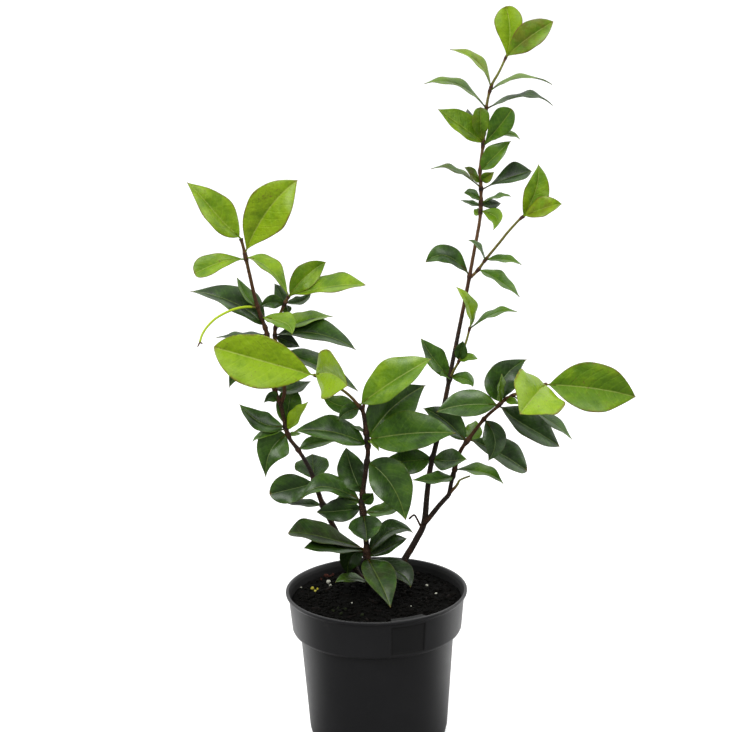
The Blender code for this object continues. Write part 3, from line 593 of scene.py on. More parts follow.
def earth_finish(name, dark, light, rough=0.95):
    """A rough, crumbly material between two colours."""
    material, place, shader = new_material(name, Roughness=rough, Specular_IOR_Level=0.07)
    mottle = place.noise(420.0, 6.0, 0.65)
    patch = place.noise(60.0, 3.0)
    tone = mottle.step(0.4, 0.75) * (0.35 + patch * 0.65)
    connect(tone.blend(dark, light), shader, "Base Color")
    height = mottle * 0.6 + place.noise(1500.0, 4.0) * 0.4
    connect(height.relief(0.7, 0.9 * MM), shader, "Normal")
    return material


soil_finish = earth_finish("soil_peat", paint(4, 4, 3), paint(15, 13, 11))
soil = new_piece("soil_bed", soil_points, soil_faces, [soil_finish])
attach(soil, "root")
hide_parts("soil")


# Crumbs and litter on the soil
# Loose crumbs of peat, chips of composted bark, a few grains of perlite and some mossy, reddish and yellow
# bits lie on the soil. They are single lumps, pressed a little way into it.
CRUMB_COUNT = 1100
CHIP_COUNT = 90
SCATTER_REACH = 0.97
LUMP_RISE = 0.3
LUMP_TILT = 0.5
LITTER_HEIGHT = SOIL_EDGE + 1.5 * MM
lump_work = bmesh.new()
bmesh.ops.create_icosphere(lump_work, subdivisions=2, radius=1.0)
LUMP_POINTS = [point.co.copy() for point in lump_work.verts]
LUMP_FACES = [tuple(point.index for point in face.verts) for face in lump_work.faces]
lump_work.free()


def add_lump(points, faces, centre, size, draw):
    """Adds one uneven lump, turned at random, with its three half sizes."""
    start = len(points)
    seed = Vector((draw.random(), draw.random(), draw.random())) * 40
    turned = Matrix.Rotation(draw.random() * math.tau, 3, "Z")
    turned = turned @ Matrix.Rotation(draw.uniform(-LUMP_TILT, LUMP_TILT), 3, "X")
    for point in LUMP_POINTS:
        uneven = 1 + 0.45 * noise.noise(point * 1.3 + seed) + 0.2 * noise.noise(point * 3.1 + seed)
        scaled = Vector((point.x * size[0], point.y * size[1], point.z * size[2])) * uneven
        points.append(centre + turned @ scaled)
    faces.extend(tuple(start + index for index in face) for face in LUMP_FACES)


def lay_on_soil(name, finish, points, faces):
    """A piece of loose lumps that lie on the soil."""
    piece = new_piece(name, points, faces, [finish])
    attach(piece, "root")


def scatter(name, finish, count, low, high, flat, long, seed):
    """Many lumps spread over the soil, between two sizes in millimetres, flattened and drawn out."""
    draw = random.Random(seed)
    points, faces = [], []
    for _ in range(count):
        turn, share = draw.random() * math.tau, math.sqrt(draw.random()) * SCATTER_REACH
        radius = share * (SOIL_RADIUS - POCKET_DEPTH * in_label(from_front(turn)) - high * MM)
        x, y = radius * math.sin(turn), -radius * math.cos(turn)
        size = draw.uniform(low, high) * MM * (0.5 + 0.5 * draw.random())
        centre = Vector((x, y, crumbled(x, y) + size * flat * LUMP_RISE))
        add_lump(points, faces, centre, (size * long * draw.uniform(0.7, 1.2), size, size * flat), draw)
    lay_on_soil(name, finish, points, faces)


def placed_lumps(name, finish, rows, seed):
    """Single lumps: the picture point where each shows, and its three sizes in millimetres."""
    draw = random.Random(seed)
    points, faces = [], []
    for px, py, wide, deep, tall in rows:
        place = at_height(px, py, LITTER_HEIGHT)
        place *= min(1.0, (SOIL_RADIUS - wide * MM) / math.hypot(place.x, place.y))
        place.z = crumbled(place.x, place.y) + tall * MM * LUMP_RISE
        add_lump(points, faces, place, (wide * MM / 2, deep * MM / 2, tall * MM / 2), draw)
    lay_on_soil(name, finish, points, faces)


crumb_finish = earth_finish("peat_crumb", paint(5, 5, 4), paint(22, 19, 16))
scatter("peat_crumbs", crumb_finish, CRUMB_COUNT, 0.7, 2.0, 0.75, 1.2, 11)
chip_finish = earth_finish("bark_chip", paint(12, 9, 8), paint(34, 26, 21), 0.85)
scatter("bark_chips", chip_finish, CHIP_COUNT, 0.8, 1.8, 0.45, 2.6, 12)
moss_finish = earth_finish("mossy_bit", paint(18, 22, 12), paint(46, 54, 30), 0.9)
MOSS_BITS = [(333, 611, 4, 2, 2), (338, 608, 6, 2, 2), (345, 610, 4, 3, 2)]
MOSS_BITS += [(341, 614, 5, 2, 1.5), (362, 615, 4, 3, 2)]
placed_lumps("mossy_bits", moss_finish, MOSS_BITS, 13)
rust_finish = earth_finish("red_twig_bit", paint(40, 20, 16), paint(92, 52, 42), 0.8)
RUST_BITS = [(324, 575, 5, 3, 4), (328, 571, 4, 2, 3), (321, 579, 2.5, 2, 2), (331, 576, 3, 2, 2)]
placed_lumps("red_bark_bits", rust_finish, RUST_BITS, 14)
gold_finish = earth_finish("yellow_bit", paint(150, 142, 40), paint(214, 208, 124), 0.7)
GOLD_BITS = [(312.5, 588, 3, 2.4, 2.8), (315.5, 590.5, 2.6, 2, 2), (317.5, 588.5, 2.2, 1.8, 2)]
placed_lumps("yellow_bits", gold_finish, GOLD_BITS, 15)
stone_finish = earth_finish("perlite", paint(165, 165, 150), paint(225, 225, 214), 0.8)
PERLITE = [(328.5, 583, 3.4, 2.6, 3), (330.5, 585, 2.4, 2, 2), (427, 585, 2, 2, 2), (436, 594, 2, 2, 1)]
PERLITE += [(352, 604, 1.2, 1, 1), (411, 606, 1, 1, 1), (301, 586, 1.4, 1, 1), (398, 574, 1.2, 1, 1)]
placed_lumps("perlite_grains", stone_finish, PERLITE, 16)


# Left stem
# A woody stem that leans to the left and a little to the front, with brown bark and swollen joints. Its
# leaves are leathery and glossy, in pairs, on short stalks and with pale midribs. It stands in the soil.
LEFT_ENTRY_PX = (361, 581)
LEFT_ROUTE = [
    (358, 574, 30, 4.6),
    (349, 555, 28, 4.5),
    (338, 535, 25, 4.3),
    (323, 505, 22, 3.9),
    (311, 472, 20, 3.2),
    (299, 451, 20, 2.9),
    (288, 435, 21, 2.9),
    (281, 406, 20, 2.9),
    (275, 390, 20, 3.0),
    (271, 362, 18, 2.9),
    (267, 334, 16, 2.8),
    (257, 305, 13, 2.7),
    (249, 272, 10, 2.5),
    (244, 250, 8, 2.3),
    (241, 239, 6, 2.0),
]
LEFT_TIP_JOINT_PX = (249.5, 272)
PALE_JOINT_PX = (251.5, 307)
PALE_ROUTE = [
    (256, 307, 13, 1.9),
    (245, 307, 7, 1.8),
    (235, 309, 2, 1.8),
    (225, 313, -2, 1.7),
    (215, 319, -5, 1.7),
    (207, 327, -7, 1.6),
    (202, 335, -8, 1.6),
    (200, 342, -9, 1.6),
]
LEFT_BRANCH_JOINT_PX = (284.3, 391)
LEFT_BRANCH_ROUTE = [
    (281, 404, 20, 2.8),
    (284.5, 392, 18, 2.7),
    (282, 376, 16, 2.6),
    (279, 360, 17, 2.5),
    (275, 338, 20, 2.4),
    (276, 325, 22, 2.3),
    (281, 312, 23, 2.2),
    (285, 303, 21, 2.1),
    (289, 296, 20, 1.8),
]
STAND_DEPTH = 30 * MM
STEM_STEP = 1.6 * MM
STEM_SIDES = 16
JOINT_CLEAR = 0.3
KNOT_SWELL = 0.5
KNOT_REACH = 1.7 * MM
KNOT_AGE = 0.9
BARK_ROUGH = 0.07
BARK_GRAIN = 1.7 * MM
OLD_WOOD = 3.4 * MM
NEW_WOOD = 1.5 * MM
TWIG_DRY = 0.9
SKYWARD = Vector((0.35, 0, 1))
BLADE_THICK = 0.45 * MM
SLENDER = 0.47
FOLD = 0.38
FOLD_OPEN = 1.6
ARCH = 0.07
STALK_SHARE = 0.04
STALK_RADIUS = 0.62 * MM
STALK_SIDES = 8
STALK_STATIONS = 7
RIDGE_HIGH = 0.35 * MM
RIDGE_WIDE = 0.5 * MM
FOOT_HALF = 0.5 * MM
TIP_HALF = 0.14 * MM
WAVES = 2.3
WAVE_LOW = 0.04
WAVE_HIGH = 0.11
SWAY = 0.014
SKEW = 0.08
CURL = 0.15
TWIST = 0.25
RAGGED = 0.05
SHORT_BLADE = 28 * MM
LONG_STATIONS = 28
SHORT_STATIONS = 18
HALF_COLUMNS = (0.035, 0.09, 0.19, 0.33, 0.5, 0.68, 0.84, 0.95, 1.0)
COLUMNS = tuple(-share for share in reversed(HALF_COLUMNS)) + (0.0,) + HALF_COLUMNS

# A leaf: the picture points of its foot on the stem, of its midrib half way and of its tip, the width it
# shows in pixels, how far its tip comes towards the front in millimetres, and its green from 0, dark, to 1,
# lime. That green is mostly the leaf's own, but partly painted shade and light: it is set darker for leaves
# that sit in shade and lighter for some that are turned from the light. Then where along the blade it is
# widest, how slender its two ends are, how far it is rolled about its midrib, how far its tip bends under,
# how bronze it is and how it shines.
Leaf = namedtuple(
    "Leaf",
    "foot belly tip wide toward tone peak power roll curl bronze shine",
    defaults=(0.42, 2.1, 0, 0, 0, 0.5),
)

LEFT_LEAVES = [
    Leaf((264, 328), (236, 301), (190, 289), 27, -14, 0.15),
    Leaf((256, 307), (246, 294), (237, 277), 10, -8, 0.5),
    Leaf((263, 317), (284, 321), (292, 334), 18, 26, 0.7),
    Leaf((265, 335), (240, 335), (216, 337), 5, 4, 0.15),
    Leaf((271, 362), (246, 364), (229, 388), 22, 10, 0.2),
    Leaf((276, 389), (292, 388), (311, 381), 14, -18, 0.15),
    Leaf((286, 427), (289, 403), (292, 383), 26, -14, 0.3),
    Leaf((285, 428), (297, 416), (307, 401), 13, 12, 0.9),
    Leaf((281, 400), (272, 397), (264, 403), 11, 5, 0.3),
    Leaf((284, 427), (260, 421), (240, 403), 20, -4, 0.2),
    Leaf((284, 429), (264, 435), (252, 441), 7, 6, 0.4),
    Leaf((288, 434), (270, 452), (266, 480), 34, 12, 0.25, peak=0.3, power=2.6),
    Leaf((289, 435), (295, 434), (301, 433), 5, -6, 0.5),
    Leaf((299, 449), (317, 442), (335, 441), 13, -4, 0.35),
    Leaf((314, 480), (313, 466), (312, 453), 35, -28, 0.22, shine=0.05),
    Leaf((314, 483), (294, 488.5), (269, 494), 30, 0, 0.15, peak=0.6, power=1.8),
    Leaf((322, 506), (302, 503.5), (284, 502), 8, -4, 0.1, shine=0.2),
]


class Growth:
    """The points and faces of one leafy stem, with what its materials need to know at each point."""

    def __init__(self):
        self.points, self.faces, self.slots = [], [], []
        self.lay, self.growth, self.upper, self.age, self.shine = [], [], [], [], []

    def add_point(self, place, lay=(0, 0, 0), growth=(0, 0, 0), upper=1.0, age=0.0, shine=0.0):
        """A point: its place on its leaf, how the leaf grew, 1 on top, the wood's age and its shine."""
        self.points.append(place)
        self.lay.extend(lay)
        self.growth.extend(growth)
        self.upper.append(upper)
        self.age.append(age)
        self.shine.append(shine)

    def add_face(self, corners, slot):
        """A face in a material slot: 0 for bark, 1 for leaf."""
        self.faces.append(corners)
        self.slots.append(slot)

    def close_tube(self, start, sides, slot):
        """The faces of a closed tube over the rings of points that were added since a start."""
        rings = (len(self.points) - start) // sides
        for corners in tube_faces(start, rings, sides):
            self.add_face(corners, slot)

    def finish(self, name, materials):
        """The piece, with its attributes."""
        piece = new_piece(name, self.points, self.faces, materials, self.slots)
        for label, values in (("lay", self.lay), ("growth", self.growth)):
            vectors = piece.data.attributes.new(label, "FLOAT_VECTOR", "POINT")
            vectors.data.foreach_set("vector", values)
        for label, values in (("upper", self.upper), ("age", self.age), ("shine", self.shine)):
            piece.data.attributes.new(label, "FLOAT", "POINT").data.foreach_set("value", values)
        return piece


def curve_through(points):
    """A finely stepped smooth curve through the rows of a route, each a point with a diameter."""
    smooth_line = []
    for index in range(len(points) - 1):
        before = points[max(index - 1, 0)]
        start, end = points[index], points[index + 1]
        after = points[min(index + 2, len(points) - 1)]
        count = max(1, round((end[0] - start[0]).length / STEM_STEP))
        for number in range(count):
            t = number / count
            place = (
                start[0] * (2 - 5 * t**2 + 3 * t**3)
                + end[0] * (t + 4 * t**2 - 3 * t**3)
                + before[0] * (-t + 2 * t**2 - t**3)
                + after[0] * (t**3 - t**2)
            ) / 2
            smooth_line.append((place, start[1] + (end[1] - start[1]) * t))
    smooth_line.append(points[-1])
    return smooth_line


def stem_line(route, entry=None):
    """A stem's centre line. A stem with an entry point in the soil starts below it, upright."""
    points = [(spot(px, py, back * MM), thick * MM) for px, py, back, thick in route]
    if entry:
        top = at_height(*entry, SOIL_EDGE)
        thick = points[0][1]
        points = [(top - Vector((0, 0, STAND_DEPTH)), thick), (top, thick)] + points
    return curve_through(points)


def nearest(line, px, py):
    """The place along a centre line, counted in rows, that shows nearest to a picture point."""
    target = Vector((px, py, 0))
    best = (math.inf, 0)
    for index in range(len(line) - 1):
        start = seen_at(line[index][0]).to_3d()
        end = seen_at(line[index + 1][0]).to_3d()
        t = intersect_point_line(target, start, end)[1]
        t = min(max(t, 0), 1)
        away = (start.lerp(end, t) - target).length
        best = min(best, (away, index + t))
    return best[1]


def at_row(line, row):
    """The point and the diameter at a place along a centre line, counted in rows."""
    index = min(int(row), len(line) - 2)
    t = row - index
    start, end = line[index], line[index + 1]
    return start[0].lerp(end[0], t), start[1] + (end[1] - start[1]) * t


def cut_line(line, joint):
    """A centre line cut in two at a picture point."""
    row = nearest(line, *joint)
    met = at_row(line, row)
    lower = [point for number, point in enumerate(line) if number < row - JOINT_CLEAR]
    upper = [point for number, point in enumerate(line) if number > row + JOINT_CLEAR]
    return lower + [met], [met] + upper


def add_wood(growth, line, knots=(), sides=STEM_SIDES, fresh=0.0, dry=0.0):
    """Adds a closed stem along a centre line, swollen at its knots. Thin or fresh wood is the greenest."""
    start = len(growth.points)
    across = None
    for index, (place, thick) in enumerate(line):
        ahead = (line[min(index + 1, len(line) - 1)][0] - line[max(index - 1, 0)][0]).normalized()
        if across is None:
            across = ahead.cross(Vector((0.3, 1, 0.2))).normalized()
        across = (across - ahead * across.dot(ahead)).normalized()
        along = ahead.cross(across)
        swell = max([math.exp(-(((place - knot).length / KNOT_REACH) ** 2)) for knot in knots] or [0])
        age = max(smooth(thick, NEW_WOOD, OLD_WOOD) * (1 - fresh), dry, KNOT_AGE * swell)
        for side in range(sides):
            turn = math.tau * side / sides
            way = across * math.cos(turn) + along * math.sin(turn)
            rough = noise.noise((place + way * thick) / BARK_GRAIN)
            reach = thick / 2 * (1 + KNOT_SWELL * swell + BARK_ROUGH * rough)
            growth.add_point(place + way * reach, age=age)
    growth.close_tube(start, sides, 0)


def midrib(leaf, foot):
    """The three control points of a leaf's midrib, from its foot on the stem."""
    near = foot.y - leaf.toward * MM
    tip = spot(*leaf.tip, near)
    rise = ARCH * (tip - foot).length
    belly = spot(*leaf.belly, (foot.y + near) / 2 - rise)
    return foot, 2 * belly - (foot + tip) / 2, tip


def on_midrib(controls, t):
    """The point on a midrib and the way it runs there."""
    foot, control, tip = controls
    place = foot * (1 - t) ** 2 + control * 2 * t * (1 - t) + tip * t**2
    ahead = (control - foot) * (1 - t) + (tip - control) * t
    return place, ahead.normalized()


def blade_facing(leaf, controls):
    """A leaf's real width, the way its top faces and its fold. It is turned to show its traced width."""
    foot, _, tip = controls
    middle = on_midrib(controls, 0.5)[0]
    ahead = (tip - foot).normalized()
    to_eye = (EYE - middle).normalized()
    facing = (to_eye - ahead * to_eye.dot(ahead)).normalized()
    sideways = ahead.cross(facing)
    if sideways.dot(SKYWARD) < 0:
        sideways = -sideways
    depth = (middle - EYE).dot(AHEAD)
    shown = leaf.wide * depth / PICTURE_FOCUS
    width = max(shown, SLENDER * (tip - foot).length)
    turn = math.acos(shown / width)
    fold = FOLD * min(1, FOLD_OPEN * shown / width)
    up = facing * math.cos(turn) + sideways * math.sin(turn)
    return width, Matrix.Rotation(leaf.roll, 3, ahead) @ up, fold


def leaf_outline(t, leaf):
    """A pointed oval's width at t, 0 at its foot and 1 at its tip, as a share of its full width."""
    t = min(max(t, 0), 1)
    rising = (t / leaf.peak) ** (leaf.power * leaf.peak)
    return rising * ((1 - t) / (1 - leaf.peak)) ** (leaf.power * (1 - leaf.peak))


def add_blade(growth, leaf, foot, draw):
    """Adds a blade: a thin closed sheet, folded along its midrib, with a wavy margin and a ridge below."""
    controls = midrib(leaf, foot)
    width, up, fold = blade_facing(leaf, controls)
    length = (controls[2] - controls[0]).length
    stations = LONG_STATIONS if length > SHORT_BLADE else SHORT_STATIONS
    seed = draw.random()
    phases = (draw.random() * math.tau, draw.random() * math.tau)
    wave = draw.uniform(WAVE_LOW, WAVE_HIGH)
    sway = draw.uniform(-SWAY, SWAY) * length
    skew = draw.uniform(-SKEW, SKEW)
    curl = leaf.curl + draw.uniform(0, CURL)
    twist = draw.uniform(-TWIST, TWIST)
    grown = (leaf.tone, leaf.bronze, seed)
    shine = leaf.shine * fold / FOLD
    start = len(growth.points)
    rows = []
    reached = before = on_midrib(controls, STALK_SHARE)[0]
    for number in range(stations + 1):
        even = number / stations
        t = 0.45 * even + 0.55 * (1 - math.cos(math.pi * even)) / 2
        place, ahead = on_midrib(controls, STALK_SHARE + (1 - STALK_SHARE) * t)
        normal = (up - ahead * up.dot(ahead)).normalized()
        normal = Matrix.Rotation(twist * (t - 0.4), 3, ahead) @ normal
        side = ahead.cross(normal)
        bend = Matrix.Rotation(-curl * smooth(t, 0.45, 1.05), 3, side)
        reached, before = reached + bend @ (place - before), place
        half = max(width / 2 * leaf_outline(t, leaf), FOOT_HALF + (TIP_HALF - FOOT_HALF) * t)
        lifted = reached + normal * sway * math.sin(math.tau * t)
        rows.append((t, lifted, bend @ normal, side, half))
    for top in (1, -1):
        for t, place, normal, side, half in rows:
            for share in COLUMNS:
                out = abs(share)
                hand = 1 if share > 0 else -1
                ragged = 1 + hand * skew + RAGGED * noise.noise(Vector((t * 5, hand, seed * 50)))
                rise = fold * half * (1.7 * out - 0.7 * out**2 - 0.5)
                phase = phases[0] if share > 0 else phases[1]
                rise += wave * half * out**2 * math.sin(math.tau * WAVES * t + phase)
                near_rib = math.exp(-((out * half / RIDGE_WIDE) ** 2)) * (1 - 0.7 * t)
                rise += top * BLADE_THICK / 2 * (1 - 0.5 * out**2)
                rise -= near_rib * (RIDGE_HIGH if top < 0 else RIDGE_HIGH / 3)
                lay = (t, share * half / length, out)
                place_out = place + side * share * half * ragged
                growth.add_point(place_out + normal * rise, lay, grown, 0.5 + top / 2, shine=shine)
    wide = len(COLUMNS)
    under = start + wide * (stations + 1)
    for row in range(stations):
        for column in range(wide - 1):
            here = row * wide + column
            corners = (here, here + 1, here + wide + 1, here + wide)
            growth.add_face(tuple(start + corner for corner in corners), 1)
            growth.add_face(tuple(under + corner for corner in reversed(corners)), 1)
        here, there = row * wide, row * wide + wide
        growth.add_face((start + here, start + there, under + there, under + here), 1)
        here, there = here + wide - 1, there + wide - 1
        growth.add_face((start + there, start + here, under + here, under + there), 1)
    for column in range(wide - 1):
        last = stations * wide + column
        growth.add_face((start + column + 1, start + column, under + column, under + column + 1), 1)
        growth.add_face((start + last, start + last + 1, under + last + 1, under + last), 1)


def add_stalk(growth, leaf, foot):
    """Adds a leaf's stalk, from the stem's middle into the midrib, a little way under the blade."""
    controls = midrib(leaf, foot)
    length = (controls[2] - controls[0]).length
    up = blade_facing(leaf, controls)[1]
    reach = STALK_SHARE + min(0.16, 5 * MM / length)
    start = len(growth.points)
    for number in range(STALK_STATIONS + 1):
        t = number / STALK_STATIONS
        place, ahead = on_midrib(controls, reach * t)
        normal = (up - ahead * up.dot(ahead)).normalized()
        side = ahead.cross(normal)
        centre = place - normal * RIDGE_HIGH * t
        for corner in range(STALK_SIDES):
            turn = math.tau * corner / STALK_SIDES
            way = side * math.cos(turn) - normal * math.sin(turn)
            corner_place = centre + way * STALK_RADIUS * (1.15 - 0.75 * t)
            growth.add_point(corner_place, (0, 0.05, 0), (leaf.tone, 0.7, 0.5), 1.0)
    growth.close_tube(start, STALK_SIDES, 1)


def leaf_finish(name, gloss, blush):
    """Leaf skin: green by its tone, with blotches, pale veins, bronze, a waxy top and a dull underside."""
    material, place, shader = new_material(name, Specular_IOR_Level=0.2, Coat_Roughness=0.26)
    along, across, edge = place.attribute("lay", "Vector").split()
    tone, bronze, seed = place.attribute("growth", "Vector").split()
    upper = place.attribute("upper")
    shine = place.attribute("shine")
    lean = across.math("ABSOLUTE")
    hand = across.math("SIGN")

    patchy = place.noise(75.0, 3.0)
    mottle = place.noise(420.0, 4.0, 0.6)
    rise = along * 9.0 - lean * 6.0 - lean * lean * 18.0 + hand * 0.22 + seed * 3.0
    side_vein = 1 - rise.math("PINGPONG", 0.5).step(0.015, 0.12)
    side_vein = side_vein * (1 - edge.step(0.7, 0.95)) * along.step(0.02, 0.1)
    rib = 1 - lean.step(0.003, 0.0105)
    # The green is painted a little lighter towards the margin: painted light, for light showing through the
    # thin edges.
    green = tone + (patchy - 0.5) * 0.8 + (mottle - 0.5) * 0.26 + side_vein * 0.03 + edge * 0.1 - 0.02
    stops = [
        (0.0, paint(22, 40, 8)),
        (0.2, paint(37, 66, 10)),
        (0.4, paint(60, 97, 10)),
        (0.7, paint(94, 130, 8)),
        (1.0, paint(134, 166, 10)),
    ]
    skin = place.add("ShaderNodeValToRGB", {"Fac": green}, stops=stops)
    pale = tone.blend(paint(74, 98, 38), paint(166, 182, 76))
    skin = (rib * 0.6 + side_vein * 0.06).blend(skin, pale)
    flush = place.noise(120.0, 4.0, 0.6).step(0.35, 0.65) * bronze * 0.75
    rim = edge.step(0.87, 0.99) * mottle.step(0.32, 0.6) * blush
    freckle = place.noise(760.0, 2.0).step(0.62, 0.7) * patchy.step(0.4, 0.6) * blush * 0.7
    dry = along.step(0.94, 1.0) * 0.6
    worn = (flush + rim + freckle + dry).math("MINIMUM", 0.85)
    skin = worn.blend(skin, paint(108, 74, 32))
    dull = (0.3 + rib * 0.3).blend(skin, paint(108, 132, 62))
    connect(upper.blend(dull, skin), shader, "Base Color")
    connect(0.8 - upper * 0.36 + patchy * 0.08 + mottle * 0.06, shader, "Roughness")
    waxy = shine * upper * gloss * (0.2 + patchy * 1.5)
    connect(waxy.math("MINIMUM", 1.0), shader, "Coat Weight")
    quilt = place.noise(150.0, 3.0, 0.5)
    height = (1 - side_vein) * 0.15 + quilt * 2.2 + mottle * 0.3 + place.noise(1300.0, 2.0) * 0.1
    connect(height.relief(0.7, 1.1 * MM), shader, "Normal")
    return material


def bark_finish(name, stops):
    """Bark: green-brown where it is young and dark brown where it is old, with pale specks and a rough
    grain.
    """
    material, place, shader = new_material(name, Specular_IOR_Level=0.2)
    age = place.attribute("age")
    mottle = place.noise(520.0, 4.0, 0.6)
    patch = place.noise(90.0, 2.0)
    shade = age + (patch - 0.5) * 1.1 * age + (mottle - 0.5) * 0.5
    skin = place.add("ShaderNodeValToRGB", {"Fac": shade}, stops=stops)
    speck = place.noise(1500.0, 1.0).step(0.66, 0.74) * age.step(0.1, 0.5)
    skin = (speck * 0.6).blend(skin, paint(150, 128, 100))
    connect(skin, shader, "Base Color")
    connect(0.52 + mottle * 0.2, shader, "Roughness")
    height = mottle * 0.6 + speck * 0.5 + place.noise(1800.0, 3.0) * 0.3
    connect(height.relief(0.6, 0.4 * MM), shader, "Normal")
    return material


bark_stops = [
    (0.0, paint(118, 120, 52)),
    (0.3, paint(100, 72, 44)),
    (0.7, paint(76, 48, 32)),
    (1.0, paint(36, 27, 22)),
]
bark = bark_finish("stem_bark", bark_stops)
mature = leaf_finish("leaf_mature", 1.0, 0.15)


def grow(name, line, leaves, skin, others=(), twigs=()):
    """A stem with its stubs, dry twigs and leaves as one piece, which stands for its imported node."""
    growth = Growth()
    draw = random.Random(name)
    feet = [at_row(line, nearest(line, *leaf.foot))[0] for leaf in leaves]
    add_wood(growth, line, feet)
    for other in others:
        add_wood(growth, other)
    for twig in twigs:
        add_wood(growth, twig, dry=TWIG_DRY)
    for leaf, foot in zip(leaves, feet):
        add_blade(growth, leaf, foot, draw)
        add_stalk(growth, leaf, foot)
    piece = growth.finish(name + "_leafy", [bark, skin])
    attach(piece, "root")
    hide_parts(name)


left_line, left_tip_line = cut_line(stem_line(LEFT_ROUTE, LEFT_ENTRY_PX), LEFT_TIP_JOINT_PX)
left_stub, left_rest = cut_line(stem_line(LEFT_BRANCH_ROUTE), LEFT_BRANCH_JOINT_PX)
pale_stub, pale_line = cut_line(stem_line(PALE_ROUTE), PALE_JOINT_PX)
grow("left_stem", left_line, LEFT_LEAVES, mature, [left_stub, pale_stub])


# Left branch
# A thinner branch that forks off the left stem half way up, with long dark leaves that reach to the right.
# It grows on from its stub on that stem.
LEFT_BRANCH_TIP_JOINT_PX = (286.7, 300.5)
LEFT_BRANCH_LEAVES = [
    Leaf((286, 303), (300, 301), (311, 293), 9, -10, 0.2),
    Leaf((285, 305), (272, 302), (260, 307), 14, 6, 0.15),
    Leaf((285, 305), (281, 295), (274, 283), 14, -12, 0.15),
    Leaf((284, 305), (287, 309), (288, 315), 10, -8, 0.1),
    Leaf((276, 328), (307, 319), (333, 316), 14, -12, 0.7),
    Leaf((275, 335), (320, 332), (357, 349), 21, 6, 0.15),
    Leaf((275, 337), (288, 341), (300, 347), 13, -6, 0.05),
    Leaf((278, 353), (320, 365), (360, 390), 19, 4, 0.2),
]
left_branch_line, left_branch_tip_line = cut_line(left_rest, LEFT_BRANCH_TIP_JOINT_PX)
grow("left_branch", left_branch_line, LEFT_BRANCH_LEAVES, mature)


# Young tips of the left stem and the left branch
# This year's growth at both ends: soft lime green leaves with reddish edges, still thin and full of light.
# Each tip grows on from the end of its stem.
LEFT_TIP_LEAVES = [
    Leaf((241, 239), (216, 211), (187, 182), 31, 4, 0.85),
    Leaf((246, 254), (265, 213), (297, 180), 45, 10, 0.95, peak=0.54, power=2.4, bronze=0.12),
    Leaf((247, 259), (218, 262), (194, 273), 21, 6, 0.8, peak=0.72, power=1.7),
    Leaf((248, 257), (269, 266), (288, 295), 16, 13, 0.75),
]
LEFT_BRANCH_TIP_LEAVES = [
    Leaf((289, 297), (305, 277), (326, 262), 24, -6, 0.75, peak=0.5),
    Leaf((289, 296), (327, 285), (366, 284), 18, 5, 0.75, peak=0.54),
]
young = leaf_finish("leaf_young", 0.6, 0.8)
grow("left_tip", left_tip_line, LEFT_TIP_LEAVES, young)
grow("left_branch_tip", left_branch_tip_line, LEFT_BRANCH_TIP_LEAVES, young)


# Pale shoot
# A bare yellow-green shoot that springs from the left stem in a wide bow and ends in a small brown fork,
# where its last leaves dried up.
PALE_FORK = [(197.5, 347), (202.5, 344)]
PALE_SIDES = 12
PRONG_SIDES = 10
pale_stops = [
    (0.0, paint(176, 200, 40)),
    (0.3, paint(168, 190, 44)),
    (0.65, paint(128, 104, 52)),
    (1.0, paint(92, 62, 40)),
]
pale_skin = bark_finish("shoot_pale", pale_stops)
pale = Growth()
add_wood(pale, pale_line, sides=PALE_SIDES, fresh=1.0)
fork_foot = pale_line[-1][0]
for px, py in PALE_FORK:
    end = spot(px, py, PALE_ROUTE[-1][2] * MM)
    prong = [(fork_foot.lerp(end, share), (1.4 - 0.7 * share) * MM) for share in (0, 0.3, 0.6, 0.85, 1)]
    add_wood(pale, prong, sides=PRONG_SIDES, dry=1.0)
pale_piece = pale.finish("pale_shoot_bow", [pale_skin])
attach(pale_piece, "root")
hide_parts("pale_shoot")


